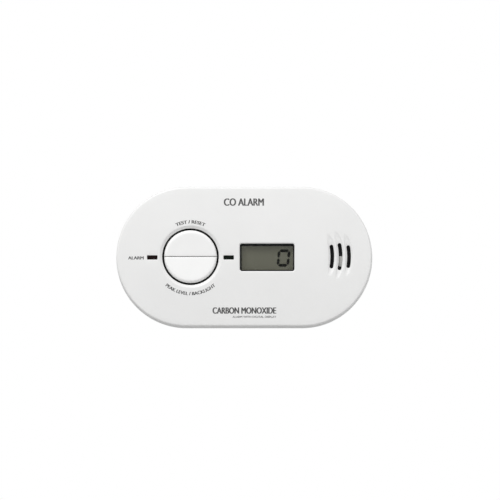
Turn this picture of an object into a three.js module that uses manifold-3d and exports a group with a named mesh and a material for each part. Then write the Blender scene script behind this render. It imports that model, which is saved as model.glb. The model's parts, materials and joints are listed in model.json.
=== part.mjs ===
// A battery-powered carbon monoxide alarm: a pill-shaped case with a split round button,
// two status lights, a liquid crystal display and a sounder behind three curved slots.
// Three AA cells sit in a bay at the back, under a hinged door, and two keyholes hang
// the alarm on wall screws.
//
// Everything is laid out with the alarm lying on its back: x runs to the right along the
// face, y runs up it, and z is the distance from the wall. The exported group stands the
// alarm up, so that +Z is up, the face looks along -Y and the wall is the plane Y = 0.
// All lengths are millimetres.

import * as THREE from "three";
import { mergeVertices } from "three/addons/utils/BufferGeometryUtils.js";
import Module from "manifold-3d";

const wasm = await Module();
wasm.setup();

// ---------------------------------------------------------------- driving dimensions

const HALF_TURN = Math.PI;
const QUARTER_TURN = Math.PI / 2;
const GAP = 0.3; // clearance between neighbouring pieces

const CASE = {
  width: 147.4,
  height: 81,
  depth: 38,
  wall: 2.2,
  parting: 15, // the plane where the rear cover meets the front cover
  ceiling: 35.4, // height of the face's flat inside
  dome: 1.3, // how much higher the middle of the face is than its rim
  edge: 1.4, // radius of the face's outer edge
  draft: 0.5, // how much the front cover narrows from the parting line to the face
};
const END_R = CASE.height / 2;
const SPINE = (CASE.width - CASE.height) / 2; // half the straight run between the ends

const KEY = {
  x: -30.75,
  r: 15.1,
  hole: 16.2,
  dish: 17.9,
  dishDepth: 1.1,
  split: 0.3, // gap between the two halves
  slope: 0.07, // each half falls towards the split
  middleZ: 37.35, // height of the caps at the split
  rim: 1.3, // radius of the caps' outer edge
  capThickness: 2.1,
  skirtZ: 33.2,
  skirtWall: 1.6,
  axisY: 1.8, // distance of each half's hinge axis from the split
  axisZ: 33.8,
  trunnionR: 1,
  trunnionReach: 17.3,
  stemY: 9,
  stemR: 1.5,
  hookY: 17.1, // each half hooks under the carrier, so that it can't lift out
  hookZ: 29.9,
  hookHalfWidth: 2.8,
};
const CARRIER = { bottom: 31.4, top: 35.1, r: 18.1, bore: 16.5, earR: 3, earTop: 33 };

const LIGHT_REACH = 21.85; // distance of each status light from the button's centre
const LIGHT = { w: 5.9, h: 2.35, x: [KEY.x - LIGHT_REACH, KEY.x + LIGHT_REACH], y: -0.5 };
const DISPLAY = { x: 13.1, y: -0.4, w: 31.2, h: 15.7, corner: 1.2 };
const GRILLE = {
  x: 55.2,
  pitch: 4.8,
  bend: 33, // radius that the slots curve with
  slotHalfWidth: 1.05,
  slotHalfLengths: [6.8, 7.8, 6.5],
  dimpleHalfLengths: [12.2, 14.3, 12.3],
  dimpleRise: 1, // the dimples sit a little above the slots
  dimpleHalfWidth: 2.25,
  dimpleDepth: 1.3,
};

const BOARD = { z: 26.2, thickness: 1.6, endR: 33.5 };
const BOARD_TOP = BOARD.z + BOARD.thickness;
const PART_Z = BOARD_TOP + GAP; // where the components on the board's face start

const CASE_SCREWS = [
  [-50, -26],
  [50, -26],
  [-50, 26],
  [50, 26],
];
const BOARD_SCREWS = [
  [-4, 27],
  [-58, -11],
  [31, -25],
];
const BOSS = { caseR: 3.4, boardR: 2.6, carrierR: 2.4, top: 36 }; // inside the front cover
const PILOT = { caseR: 1.6, smallR: 1.25 }; // holes that the screws cut their threads in
const REAR_BOSS = { r: 4.4, wellR: 3.4, wellDepth: 8, holeR: 1.65 };
const LIP = { thickness: 1.2, rise: 2.2, drop: 2.5, foot: 3.6 }; // locates the front cover
const EAR_R = 21.4; // distance of the key carrier's screws from the key's centre
const CARRIER_SCREWS = [0.25, 1.25].map((turn) => [
  KEY.x + EAR_R * Math.cos(turn * HALF_TURN),
  EAR_R * Math.sin(turn * HALF_TURN),
]);

const CELL = { r: 7.15, body: 49.5, nubR: 2.75, nub: 1, pitch: 15.3, z: 10.05 };
const BAY = { halfX: 29, halfY: 23.4, top: 17.6, wall: 1.6 };
const CONTACT = { t: 0.5, h: 10, bump: 0.6, bumpR: 2.2 };
const CONTACT_X = BAY.halfX - 0.1 - CONTACT.t; // inner face of a contact plate
const SPRING = { wire: 0.36, baseR: 3.3, tipR: 2, turns: 3.5, length: 4.5 };

const DOOR = {
  halfX: 31.5,
  bottom: -26,
  z: 0.35,
  thickness: 1.8,
  hingeY: 25,
  hingeZ: 1.65,
  knuckleR: 1.25,
  knuckleX: 18, // inner end of each knuckle
  pinR: 0.95,
  pinReach: 33.3,
  latchHalf: 7, // half the width of the sprung latch
};
const KEYHOLE = { x: 52, y: -2, headR: 4.5, shankR: 2.3, rise: 9, pocket: 6 };
const HORN = { x: GRILLE.x, y: -2.6, r: 11.2 };
const SENSOR = { x: 35.5, y: 22.5, r: 8.3 };
const CHIP_AT = [2, 2];
const CAPACITOR_AT = [12, 22];
const COIL_AT = [36.6, -7];
const SWITCH = { size: 6, height: 3.4, plungerR: 1.7, top: 32.6 };

// ---------------------------------------------------------------- materials

function plastic(color, roughness) {
  return new THREE.MeshStandardMaterial({ color, roughness, metalness: 0 });
}

function metal(color, roughness) {
  return new THREE.MeshStandardMaterial({ color, roughness, metalness: 1 });
}

function clear(color, opacity) {
  return new THREE.MeshStandardMaterial({
    color,
    roughness: 0.08,
    transparent: true,
    opacity,
  });
}

const MATERIALS = {
  caseWhite: plastic(0xeeeeec, 0.42),
  keyWhite: plastic(0xf6f6f4, 0.35),
  black: plastic(0x17181a, 0.45),
  windowClear: clear(0xdfe6e2, 0.3),
  displayGlass: plastic(0x6c6d60, 0.15),
  lightGuide: plastic(0xd9e3d2, 0.3),
  smokedRed: plastic(0x1c0a0a, 0.15),
  smokedGreen: plastic(0x0a1a0d, 0.15),
  boardGreen: plastic(0x1f5a36, 0.45),
  steel: metal(0xb9bcc0, 0.3),
  brass: metal(0xc6a15b, 0.35),
  copper: metal(0xb06a3a, 0.4),
  cellWrap: plastic(0x2b2d30, 0.3),
  redWire: plastic(0xb3231d, 0.5),
  blackWire: plastic(0x1a1a1a, 0.5),
  label: plastic(0xd5d7d8, 0.45),
  felt: plastic(0xcfcfc9, 0.9),
};

// ---------------------------------------------------------------- geometry helpers

// A closed three.js geometry as a solid that can be joined and cut.
function solid(geometry) {
  const bare = new THREE.BufferGeometry();
  const source = geometry.index ? geometry.toNonIndexed() : geometry;
  bare.setAttribute("position", source.getAttribute("position"));
  const merged = mergeVertices(bare, 1e-4);
  const triangles = [];
  for (let i = 0; i < merged.index.count; i += 3) {
    const [a, b, c] = merged.index.array.slice(i, i + 3);
    if (a !== b && b !== c && a !== c) triangles.push(a, b, c);
  }
  const mesh = new wasm.Mesh({
    numProp: 3,
    vertProperties: merged.attributes.position.array,
    triVerts: new Uint32Array(triangles),
  });
  return new wasm.Manifold(mesh);
}

function geometryOf(body) {
  const { vertProperties, triVerts } = body.getMesh();
  const geometry = new THREE.BufferGeometry();
  geometry.setAttribute("position", new THREE.BufferAttribute(vertProperties, 3));
  geometry.setIndex(new THREE.BufferAttribute(triVerts, 1));
  geometry.computeVertexNormals();
  return geometry;
}

function join(...bodies) {
  return bodies.reduce((all, body) => all.add(body));
}

function cut(body, ...tools) {
  return tools.reduce((left, tool) => left.subtract(tool), body);
}

// A prism of a flat outline, between two heights.
function prism(points, z0, z1) {
  const settings = { depth: z1 - z0, bevelEnabled: false };
  const geometry = new THREE.ExtrudeGeometry(new THREE.Shape(points), settings);
  return solid(geometry.translate(0, 0, z0));
}

function arc(x, y, r, from, to, steps) {
  return Array.from({ length: steps + 1 }, (_, i) => {
    const angle = from + ((to - from) * i) / steps;
    return new THREE.Vector2(x + r * Math.cos(angle), y + r * Math.sin(angle));
  });
}

function roundedRectangle(x, y, w, h, r, steps = 3) {
  const corners = [
    [1, -1, 3],
    [1, 1, 0],
    [-1, 1, 1],
    [-1, -1, 2],
  ];
  return corners.flatMap(([sx, sy, quarter]) => {
    const from = quarter * QUARTER_TURN;
    const cx = x + sx * (w / 2 - r);
    const cy = y + sy * (h / 2 - r);
    return arc(cx, cy, r, from, from + QUARTER_TURN, steps);
  });
}

function block(x0, x1, y0, y1, z0, z1) {
  const box = new THREE.BoxGeometry(x1 - x0, y1 - y0, z1 - z0);
  return solid(box.translate((x0 + x1) / 2, (y0 + y1) / 2, (z0 + z1) / 2));
}

// A round bar or cone along z.
function post(x, y, r, z0, z1, topR = r, sides = 12) {
  const bar = new THREE.CylinderGeometry(topR, r, z1 - z0, sides);
  bar.rotateX(QUARTER_TURN);
  return solid(bar.translate(x, y, (z0 + z1) / 2));
}

// A round bar along x.
function axle(x0, x1, y, z, r, sides = 20) {
  const bar = new THREE.CylinderGeometry(r, r, x1 - x0, sides);
  bar.rotateZ(QUARTER_TURN);
  return solid(bar.translate((x0 + x1) / 2, y, z));
}

// A turned piece along z, from [radius, height] pairs that start and end on the axis.
function turned(profile, sides = 32) {
  const points = profile.map(([r, z]) => new THREE.Vector2(r, z));
  return solid(new THREE.LatheGeometry(points, sides).rotateX(QUARTER_TURN));
}

const END_STEPS = 16;
const EDGE_STEPS = 3;
const KEY_SIDES = 32;

// The case's pill outline, taken in by inset all round.
function pill(inset, spine = SPINE) {
  const r = END_R - inset;
  const right = arc(spine, 0, r, -QUARTER_TURN, QUARTER_TURN, END_STEPS);
  const left = arc(-spine, 0, r, QUARTER_TURN, 3 * QUARTER_TURN, END_STEPS);
  return [...right, ...left];
}

// A solid through pill outlines at rising heights, from [inset, z] pairs.
function pillStack(sections) {
  const loops = sections.map(([inset, z]) =>
    pill(inset).map((p) => new THREE.Vector3(p.x, p.y, z)),
  );
  const count = loops[0].length;
  const corners = [];
  for (let level = 0; level + 1 < loops.length; level++) {
    for (let i = 0; i < count; i++) {
      const next = (i + 1) % count;
      const [a, b] = [loops[level][i], loops[level][next]];
      const [c, d] = [loops[level + 1][next], loops[level + 1][i]];
      corners.push(a, b, c, a, c, d);
    }
  }
  const [bottom, top] = [loops[0], loops[loops.length - 1]];
  for (let i = 1; i + 1 < count; i++) {
    corners.push(bottom[0], bottom[i + 1], bottom[i]);
    corners.push(top[0], top[i], top[i + 1]);
  }
  return solid(new THREE.BufferGeometry().setFromPoints(corners));
}

// Height of the domed face at a distance in from the case's outline.
function faceZ(inset) {
  return CASE.depth - CASE.dome * (1 - inset / END_R) ** 2;
}

function insetAt(x, y) {
  return END_R - Math.hypot(Math.max(Math.abs(x) - SPINE, 0), y);
}

function faceZAt(x, y) {
  return faceZ(insetAt(x, y));
}

// A curved slot's outline: a band of an arc about the origin, with round ends.
function bandOutline(radius, halfWidth, halfLength) {
  const sweep = (halfLength - halfWidth) / radius;
  const [cx, cy] = [radius * Math.cos(sweep), radius * Math.sin(sweep)];
  const ends = arc(cx, cy, halfWidth, sweep, sweep + HALF_TURN, 6);
  const low = arc(cx, -cy, halfWidth, HALF_TURN - sweep, 2 * HALF_TURN - sweep, 6);
  const outer = arc(0, 0, radius + halfWidth, -sweep, sweep, 8).slice(1, -1);
  const inner = arc(0, 0, radius - halfWidth, sweep, -sweep, 8).slice(1, -1);
  return [...outer, ...ends, ...inner, ...low];
}

// A pan head screw along z, with its head at the bottom.
function panScrew({ headR, headH, shankR, length }) {
  return turned([
    [0, -headH],
    [headR * 0.7, -headH],
    [headR, -headH * 0.45],
    [headR, 0],
    [shankR, 0],
    [shankR, length - shankR],
    [0, length],
  ], 10);
}

// ---------------------------------------------------------------- assembly

const alarm = new THREE.Group();
alarm.rotation.x = QUARTER_TURN;

function add(name, body, material, x = 0, y = 0, z = 0) {
  const mesh = new THREE.Mesh(geometryOf(body), material);
  mesh.name = name;
  mesh.position.set(x, y, z);
  alarm.add(mesh);
  return mesh;
}

// ---------------------------------------------------------------- front cover

// The outside of the front cover: drafted side, round edge and domed face.
function outerSections(startZ) {
  const { draft, edge } = CASE;
  const top = faceZ(draft + edge);
  const sections = [[0, startZ]];
  for (let step = 0; step <= EDGE_STEPS; step++) {
    const angle = (QUARTER_TURN * step) / EDGE_STEPS;
    const inset = draft + edge * (1 - Math.cos(angle));
    sections.push([inset, top - edge * (1 - Math.sin(angle))]);
  }
  for (const inset of [12, 24]) sections.push([inset, faceZ(inset)]);
  return sections;
}

// The inside of the front cover, with a flat ceiling.
function innerSections(startZ) {
  const { wall, draft, edge, ceiling } = CASE;
  return [
    [wall, startZ],
    [wall + draft, ceiling - edge + 1],
    [wall + draft + 1.2, ceiling],
  ];
}

function grilleCutters() {
  return GRILLE.slotHalfLengths.flatMap((halfLength, i) => {
    const centreX = GRILLE.x + (i - 1) * GRILLE.pitch - GRILLE.bend;
    const outline = bandOutline(GRILLE.bend, GRILLE.slotHalfWidth, halfLength);
    const slot = prism(outline, 30, 40).translate([centreX, 0, 0]);
    return [slot, dimple(centreX, GRILLE.dimpleHalfLengths[i])];
  });
}

// A crescent hollow: a long ellipsoid bent along the slot's arc.
function dimple(centreX, halfLength) {
  const ball = new THREE.SphereGeometry(1, 12, 10);
  ball.scale(GRILLE.dimpleHalfWidth, halfLength, GRILLE.dimpleDepth);
  const at = ball.getAttribute("position");
  for (let i = 0; i < at.count; i++) {
    const angle = (at.getY(i) + GRILLE.dimpleRise) / GRILLE.bend;
    const r = GRILLE.bend + at.getX(i);
    const [x, y] = [centreX + r * Math.cos(angle), r * Math.sin(angle)];
    at.setXYZ(i, x, y, at.getZ(i) + faceZAt(x, y));
  }
  return solid(ball);
}

function frontCover() {
  const startZ = CASE.parting + GAP;
  const shell = cut(
    pillStack(outerSections(startZ)),
    pillStack(innerSections(startZ - 1)),
  );
  const { top } = BOSS;
  const carrierSeat = CARRIER.earTop + GAP;
  const posts = [
    ...CASE_SCREWS.map(([x, y]) => post(x, y, BOSS.caseR, startZ + 0.4, top)),
    ...BOARD_SCREWS.map(([x, y]) => post(x, y, BOSS.boardR, PART_Z, top)),
    ...CARRIER_SCREWS.map(([x, y]) => post(x, y, BOSS.carrierR, carrierSeat, top)),
  ];
  const pilots = [
    ...CASE_SCREWS.map(([x, y]) => post(x, y, PILOT.caseR, CASE.parting, 28)),
    ...BOARD_SCREWS.map(([x, y]) => post(x, y, PILOT.smallR, BOARD.z, 34)),
    ...CARRIER_SCREWS.map(([x, y]) => post(x, y, PILOT.smallR, CARRIER.earTop, 35.8)),
  ];
  const dishTop = CASE.depth + 0.4;
  const dishFloor = CASE.depth - KEY.dishDepth;
  const spread = (KEY.dish - KEY.hole) / KEY.dishDepth;
  const dishTopR = KEY.hole + spread * (dishTop - dishFloor);
  const windows = [
    post(KEY.x, 0, KEY.hole, 30, 40, KEY.hole, KEY_SIDES),
    post(KEY.x, 0, KEY.hole, dishFloor, dishTop, dishTopR, KEY_SIDES),
    prism(
      roundedRectangle(DISPLAY.x, DISPLAY.y, DISPLAY.w, DISPLAY.h, DISPLAY.corner),
      30,
      40,
    ),
    ...LIGHT.x.map((x) =>
      prism(roundedRectangle(x, LIGHT.y, LIGHT.w, LIGHT.h, 0.25, 2), 30, 40),
    ),
  ];
  return cut(
    join(shell, ...posts),
    ...pilots,
    ...windows,
    ...grilleCutters(),
  );
}

add("front_cover", frontCover(), MATERIALS.caseWhite);

// ---------------------------------------------------------------- rear cover

function rearShell() {
  const { wall, parting } = CASE;
  const outside = pillStack([
    [3.4, 0],
    [2.1, 0.35],
    [1.1, 1.1],
    [0.6, 2.4],
    [0, parting],
  ]);
  const inside = pillStack([
    [wall + 1.4, wall],
    [wall + 0.6, wall + 1.4],
    [wall, parting + 1],
  ]);
  const lipSide = wall + GAP;
  const lipInside = lipSide + LIP.thickness;
  const lip = cut(
    pillStack([
      [lipSide, parting - LIP.drop],
      [lipSide, parting + LIP.rise],
    ]),
    pillStack([
      [lipInside, parting - LIP.drop - 1],
      [lipInside, parting + LIP.rise + 1],
    ]),
  );
  const lipFoot = cut(
    pillStack([
      [wall - 0.4, parting - LIP.foot],
      [wall - 0.4, parting - 1.5],
    ]),
    pillStack([
      [lipInside, parting - LIP.foot - 1],
      [lipInside, parting - 1],
    ]),
  );
  return join(cut(outside, inside), lip, lipFoot);
}

// The outline of a wall screw's keyhole, with the wide part at the bottom.
function keyholeOutline(x, grow) {
  const { y, headR, shankR, rise } = KEYHOLE;
  const [wide, narrow] = [headR + grow, shankR + grow];
  const meet = Math.asin(narrow / wide);
  const bottom = arc(x, y, wide, QUARTER_TURN + meet, 5 * QUARTER_TURN - meet, 12);
  const top = arc(x, y + rise, narrow, 0, HALF_TURN, 6);
  return [...top, ...bottom];
}

function keyholeCup(x) {
  const { pocket } = KEYHOLE;
  const outline = roundedRectangle(x, KEYHOLE.y + 3.2, 12.4, 20, 5.6, 4);
  return prism(outline, 1, CASE.wall + pocket + 1.2);
}

function keyholePocket(x) {
  const { pocket } = KEYHOLE;
  const outline = roundedRectangle(x, KEYHOLE.y + 3.2, 10, 17.6, 4.6, 4);
  return prism(outline, CASE.wall, CASE.wall + pocket);
}

function batteryBay() {
  const { halfX, halfY, top, wall } = BAY;
  const well = block(
    -halfX - wall,
    halfX + wall,
    -halfY - wall,
    halfY + wall,
    0.2,
    top + wall,
  );
  const frame = prism(roundedRectangle(0, -0.9, 71, 62, 4), 0, 4.8);
  const space = block(-halfX, halfX, -halfY, halfY, -1, top);
  const ribs = [-0.5, 0.5].map((k) =>
    block(-23, 23, k * CELL.pitch - 0.55, k * CELL.pitch + 0.55, 13.4, top + 0.5),
  );
  return { walls: join(well, frame), space, ribs };
}

// What is cut from the frame round the bay so that the door fits and swings.
function doorRecess() {
  const side = DOOR.halfX + 0.4;
  const low = DOOR.bottom - 0.4;
  const high = DOOR.hingeY + 1.75;
  const depth = DOOR.z + DOOR.thickness + 0.35;
  const clearR = DOOR.knuckleR + 0.35;
  return [
    block(-side, side, low, high, -1, depth),
    axle(-side, side, DOOR.hingeY, DOOR.hingeZ, clearR),
    axle(-DOOR.pinReach - GAP, DOOR.pinReach + GAP, DOOR.hingeY, DOOR.hingeZ, 1.25),
    block(-5.4, 5.4, low, low + 2.4, 0, 3.6),
    fingerScoop(low),
  ];
}

// A shallow scoop under the door's latch, for a fingertip.
function fingerScoop(y) {
  const ball = new THREE.SphereGeometry(1, 20, 12).scale(8, 3.4, 2.4);
  return solid(ball.translate(0, y - 0.2, 0));
}

function rearCover() {
  const bay = batteryBay();
  const { r, wellR, wellDepth, holeR } = REAR_BOSS;
  const bosses = CASE_SCREWS.map(([x, y]) => post(x, y, r, 0.4, CASE.parting));
  const holes = CASE_SCREWS.flatMap(([x, y]) => [
    post(x, y, wellR, -1, wellDepth),
    post(x, y, holeR, wellDepth - 1, CASE.parting + 1),
  ]);
  const sides = [-KEYHOLE.x, KEYHOLE.x];
  const cups = sides.map(keyholeCup);
  const pockets = sides.map(keyholePocket);
  const keyholes = sides.map((x) => prism(keyholeOutline(x, 0), -1, CASE.wall + 1));
  const tabSlots = [
    block(-32, -28, CELL.pitch - 2, CELL.pitch + 2, 13.9, 15.6),
    block(28, 32, -CELL.pitch - 2, -CELL.pitch + 2, 13.9, 15.6),
  ];
  const shell = join(rearShell(), ...bosses, ...cups, bay.walls);
  const opened = cut(shell, bay.space, ...doorRecess(), ...holes, ...tabSlots);
  return cut(join(opened, ...bay.ribs), ...pockets, ...keyholes);
}

add("rear_cover", rearCover(), MATERIALS.caseWhite);

// ---------------------------------------------------------------- battery door

// The door is built about its hinge axis, hanging down from it.
function batteryDoor() {
  const { halfX, bottom, thickness, hingeY, hingeZ, knuckleR, knuckleX, latchHalf } = DOOR;
  const z0 = DOOR.z - hingeZ;
  const low = bottom - hingeY;
  const plate = prism(
    roundedRectangle(0, low / 2 - 0.4, 2 * halfX, -low - 0.8, 1.6),
    z0,
    z0 + thickness,
  );
  const knuckles = [-1, 1].flatMap((side) => {
    const [inner, outer] = [knuckleX, halfX].map((x) => side * x).sort((a, b) => a - b);
    const tip = side * DOOR.pinReach;
    const [pinLow, pinHigh] = side < 0 ? [tip, inner + 2] : [outer - 2, tip];
    return [axle(inner, outer, 0, 0, knuckleR), axle(pinLow, pinHigh, 0, 0, DOOR.pinR)];
  });
  const webs = [-1, 1].map((side) => {
    const [inner, outer] = [knuckleX, halfX].map((x) => side * x).sort((a, b) => a - b);
    return block(inner, outer, -2, 0, z0, z0 + thickness);
  });
  const latchSlits = [-1, 1].map((side) =>
    block(side * latchHalf - 0.5, side * latchHalf + 0.5, low - 1, low + 9, -5, 5),
  );
  const hook = block(-5, 5, low, low + 1.6, z0 + thickness - 0.5, z0 + thickness + 1.1);
  const thumbRidges = [2.2, 3.8, 5.4].map((rise) =>
    block(-4.5, 4.5, low + rise, low + rise + 0.7, z0 - 0.25, z0 + 0.5),
  );
  const stiffeners = [-0.5, 0.5].map((k) => {
    const y = k * CELL.pitch - hingeY;
    return block(-20, 20, y - 0.5, y + 0.5, z0 + 1, z0 + thickness + 2);
  });
  const body = join(plate, ...knuckles, ...webs, hook, ...thumbRidges, ...stiffeners);
  return cut(body, ...latchSlits);
}

const door = new THREE.Group();
door.position.set(0, DOOR.hingeY, DOOR.hingeZ);
alarm.add(door);
const doorMesh = add("battery_door", batteryDoor(), MATERIALS.caseWhite);
door.add(doorMesh);

function ratingLabel() {
  return prism(roundedRectangle(0, 0, 44, 22, 1.5, 3), -0.1, 0.1);
}

door.add(
  add("rating_label", ratingLabel(), MATERIALS.label, 0, -22, DOOR.z - DOOR.hingeZ - 0.16),
);

// ---------------------------------------------------------------- split button

// The upper half of the button, about the button's centre.
function halfKey() {
  const top = KEY.middleZ;
  const { r, rim } = KEY;
  const edge = [1, 2, 3, 4].map((step) => {
    const angle = (QUARTER_TURN * step) / 4;
    return [r - rim * (1 - Math.cos(angle)), top - rim * (1 - Math.sin(angle))];
  });
  const disc = turned(
    [[0, top - KEY.capThickness], [r, top - KEY.capThickness], [r, top - rim], ...edge, [0, top]],
    KEY_SIDES,
  );
  const upper = block(-20, 20, KEY.split / 2, 20, 30, 42);
  const lean = new THREE.Matrix4();
  lean.elements[6] = KEY.slope; // z grows with y
  const cap = disc.intersect(upper).transform(lean.elements);
  const skirtTop = top - KEY.capThickness + 0.6;
  const skirt = cut(
    post(0, 0, r, KEY.skirtZ, skirtTop, r, KEY_SIDES),
    post(0, 0, r - KEY.skirtWall, KEY.skirtZ - 1, skirtTop + 1, r - KEY.skirtWall, KEY_SIDES),
  );
  const spineWall = block(-14.4, 14.4, KEY.split / 2, 1.6, KEY.skirtZ + 1, skirtTop);
  const { axisY, axisZ, trunnionR, trunnionReach } = KEY;
  const trunnions = [-1, 1].map((side) => {
    const ends = [side * 13.9, side * trunnionReach].sort((a, b) => a - b);
    return axle(...ends, axisY, axisZ, trunnionR, 16);
  });
  const stem = post(0, KEY.stemY, KEY.stemR, SWITCH.top + GAP, skirtTop + 0.4);
  const { hookY, hookZ, hookHalfWidth } = KEY;
  const legInside = r - KEY.skirtWall;
  const leg = block(-hookHalfWidth, hookHalfWidth, legInside, 15, hookZ, KEY.skirtZ + 1);
  const hookTop = CARRIER.bottom - GAP;
  const hook = block(-hookHalfWidth, hookHalfWidth, legInside, hookY, hookZ, hookTop);
  return join(cap, skirt.intersect(upper), spineWall, leg, hook, ...trunnions, stem);
}

const upperHalf = halfKey();
add("test_key", upperHalf, MATERIALS.keyWhite, KEY.x);
add("level_key", upperHalf.rotate([0, 0, 180]), MATERIALS.keyWhite, KEY.x);

// The ring behind the face that carries the four trunnions, closed by the face itself.
function keyCarrier() {
  const { bottom, top, earR, earTop } = CARRIER;
  const ears = CARRIER_SCREWS.flatMap(([x, y]) => {
    const [dx, dy] = [x - KEY.x, y];
    const inner = new THREE.Vector2(dx, dy).multiplyScalar(0.82);
    return [post(dx, dy, earR, bottom, earTop), post(inner.x, inner.y, 2.6, bottom, earTop)];
  });
  const disc = post(0, 0, CARRIER.r, bottom, top, CARRIER.r, KEY_SIDES);
  const bore = post(0, 0, CARRIER.bore, bottom - 1, top + 1, CARRIER.bore, KEY_SIDES);
  const notchHalf = KEY.trunnionR + 0.25;
  const notches = [-1, 1].map((side) =>
    block(
      -19,
      19,
      side * KEY.axisY - notchHalf,
      side * KEY.axisY + notchHalf,
      KEY.axisZ - notchHalf,
      top + 1,
    ),
  );
  const screwHoles = CARRIER_SCREWS.map(([x, y]) =>
    post(x - KEY.x, y, 1.35, bottom - 1, top),
  );
  return cut(join(disc, ...ears), bore, ...notches, ...screwHoles);
}

add("key_carrier", keyCarrier(), MATERIALS.black, KEY.x);

// ---------------------------------------------------------------- windows and display

function displayWindow() {
  const { w, h, corner } = DISPLAY;
  const front = prism(roundedRectangle(0, 0, w - 0.4, h - 0.4, corner - 0.2), 35, 36.8);
  const flange = prism(roundedRectangle(0, 0, w + 2.2, h + 2.2, 1.2), 34.3, 35.4);
  return join(front, flange);
}

function lightLens() {
  const top = faceZAt(LIGHT.x[0], 0) - 0.15;
  const front = prism(
    roundedRectangle(0, 0, LIGHT.w - 0.3, LIGHT.h - 0.3, 0.2, 2),
    34.8,
    top,
  );
  const foot = prism(roundedRectangle(0, 0, 6.3, 4, 0.6, 2), 34, 35);
  return join(front, foot);
}

function displayHolder() {
  const outer = prism(roundedRectangle(0, 0, 37.2, 23, 1.5), PART_Z, 34);
  const inner = prism(roundedRectangle(0, 0, 33.2, 19, 0.8), PART_Z - 1, 35);
  return cut(outer, inner);
}

const lens = lightLens();
add("display_window", displayWindow(), MATERIALS.windowClear, DISPLAY.x, DISPLAY.y);
add("alarm_light_lens", lens, MATERIALS.smokedRed, LIGHT.x[0], LIGHT.y);
add("power_light_lens", lens, MATERIALS.smokedGreen, LIGHT.x[1], LIGHT.y);
add("display_holder", displayHolder(), MATERIALS.black, DISPLAY.x, DISPLAY.y);
add(
  "display_glass",
  prism(roundedRectangle(0, 0, 32.6, 18.4, 0.4, 2), 31.9, 34),
  MATERIALS.displayGlass,
  DISPLAY.x,
  DISPLAY.y,
);
const backlight = block(-16, 16, -6.6, 6.6, 28.6, 31.6);
add("backlight_panel", backlight, MATERIALS.lightGuide, DISPLAY.x, DISPLAY.y);
for (const [index, y] of [8.2, -8.2].entries()) {
  const strip = block(-15, 15, -0.9, 0.9, PART_Z, 31.6);
  add(`display_connector_${index + 1}`, strip, MATERIALS.black, DISPLAY.x, DISPLAY.y + y);
}

// ---------------------------------------------------------------- circuit board

function circuitBoard() {
  const inset = END_R - BOARD.endR;
  const plate = prism(pill(inset), BOARD.z, BOARD_TOP);
  const postNotches = CASE_SCREWS.map(([x, y]) => post(x, y, 4.1, 20, 30));
  const screwHoles = BOARD_SCREWS.map(([x, y]) => post(x, y, 1.4, 20, 30));
  return cut(plate, ...postNotches, ...screwHoles);
}

function statusLed() {
  return turned(
    [
      [0, 28.1],
      [1.8, 28.1],
      [1.8, 29],
      [1.5, 29],
      [1.5, 32],
      [1.25, 32.9],
      [0.7, 33.4],
      [0, 33.6],
    ],
    12,
  );
}

function switchBody() {
  const half = SWITCH.size / 2;
  const body = block(-half, half, -half, half, PART_Z, PART_Z + SWITCH.height);
  return cut(body, post(0, 0, SWITCH.plungerR + 0.25, PART_Z + 0.8, 35));
}

function switchPlunger() {
  return post(0, 0, SWITCH.plungerR, PART_Z + 1.5, SWITCH.top);
}

add("circuit_board", circuitBoard(), MATERIALS.boardGreen);
add("alarm_led", statusLed(), MATERIALS.smokedRed, LIGHT.x[0], LIGHT.y);
add("power_led", statusLed(), MATERIALS.smokedGreen, LIGHT.x[1], LIGHT.y);
for (const [name, y] of [["test", KEY.stemY], ["level", -KEY.stemY]]) {
  add(`${name}_switch_body`, switchBody(), MATERIALS.steel, KEY.x, y);
  add(`${name}_switch_plunger`, switchPlunger(), MATERIALS.black, KEY.x, y);
}

// A flat chip with its gull-wing legs along two sides.
function processorChip() {
  const body = block(-5, 5, -5, 5, 24.4, 25.8);
  const legs = [-4, -2.4, -0.8, 0.8, 2.4, 4].map((x) =>
    block(x - 0.3, x + 0.3, -6.4, 6.4, 25.3, 25.6),
  );
  return join(body, ...legs);
}

function capacitor() {
  return turned(
    [
      [0, PART_Z],
      [3, PART_Z],
      [3.15, PART_Z + 0.6],
      [2.9, PART_Z + 1.1],
      [3.15, PART_Z + 1.6],
      [3.15, 34.2],
      [2.7, 34.7],
      [0, 34.7],
    ],
    16,
  );
}

function boostCoil() {
  return turned(
    [
      [0, PART_Z],
      [4.2, PART_Z],
      [4.2, PART_Z + 1],
      [3.2, PART_Z + 1.3],
      [3.2, 32.6],
      [4.2, 32.9],
      [4.2, 33.9],
      [0, 33.9],
    ],
    18,
  );
}

add("processor_chip", processorChip(), MATERIALS.black, ...CHIP_AT);
add("capacitor", capacitor(), MATERIALS.cellWrap, ...CAPACITOR_AT);
add("boost_coil", boostCoil(), MATERIALS.copper, ...COIL_AT);

// ---------------------------------------------------------------- gas sensor

function gasSensor() {
  const { r } = SENSOR;
  return turned(
    [
      [0, PART_Z],
      [r, PART_Z],
      [r, 28.9],
      [r - 0.6, 29.2],
      [r - 0.6, 32.4],
      [0, 32.4],
    ],
    24,
  );
}

function sensorCap() {
  const { r } = SENSOR;
  const cap = turned(
    [
      [0, 32.7],
      [r - 0.6, 32.7],
      [r - 0.6, 34],
      [r - 1.4, 34.6],
      [0, 34.6],
    ],
    24,
  );
  return cut(cap, post(0, 0, 1.4, 32, 36));
}

add("gas_sensor", gasSensor(), MATERIALS.steel, SENSOR.x, SENSOR.y);
add("sensor_cap", sensorCap(), MATERIALS.black, SENSOR.x, SENSOR.y);

// ---------------------------------------------------------------- sounder

const HORN_SHELF = 30.6;

function hornBase() {
  const { r } = HORN;
  const cup = post(0, 0, r, PART_Z, 33, r, 24);
  const room = post(0, 0, r - 2.4, PART_Z + 1, 34, r - 2.4, 24);
  const seat = post(0, 0, r - 1.2, HORN_SHELF, 34, r - 1.2, 24);
  return cut(cup, room, seat);
}

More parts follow.
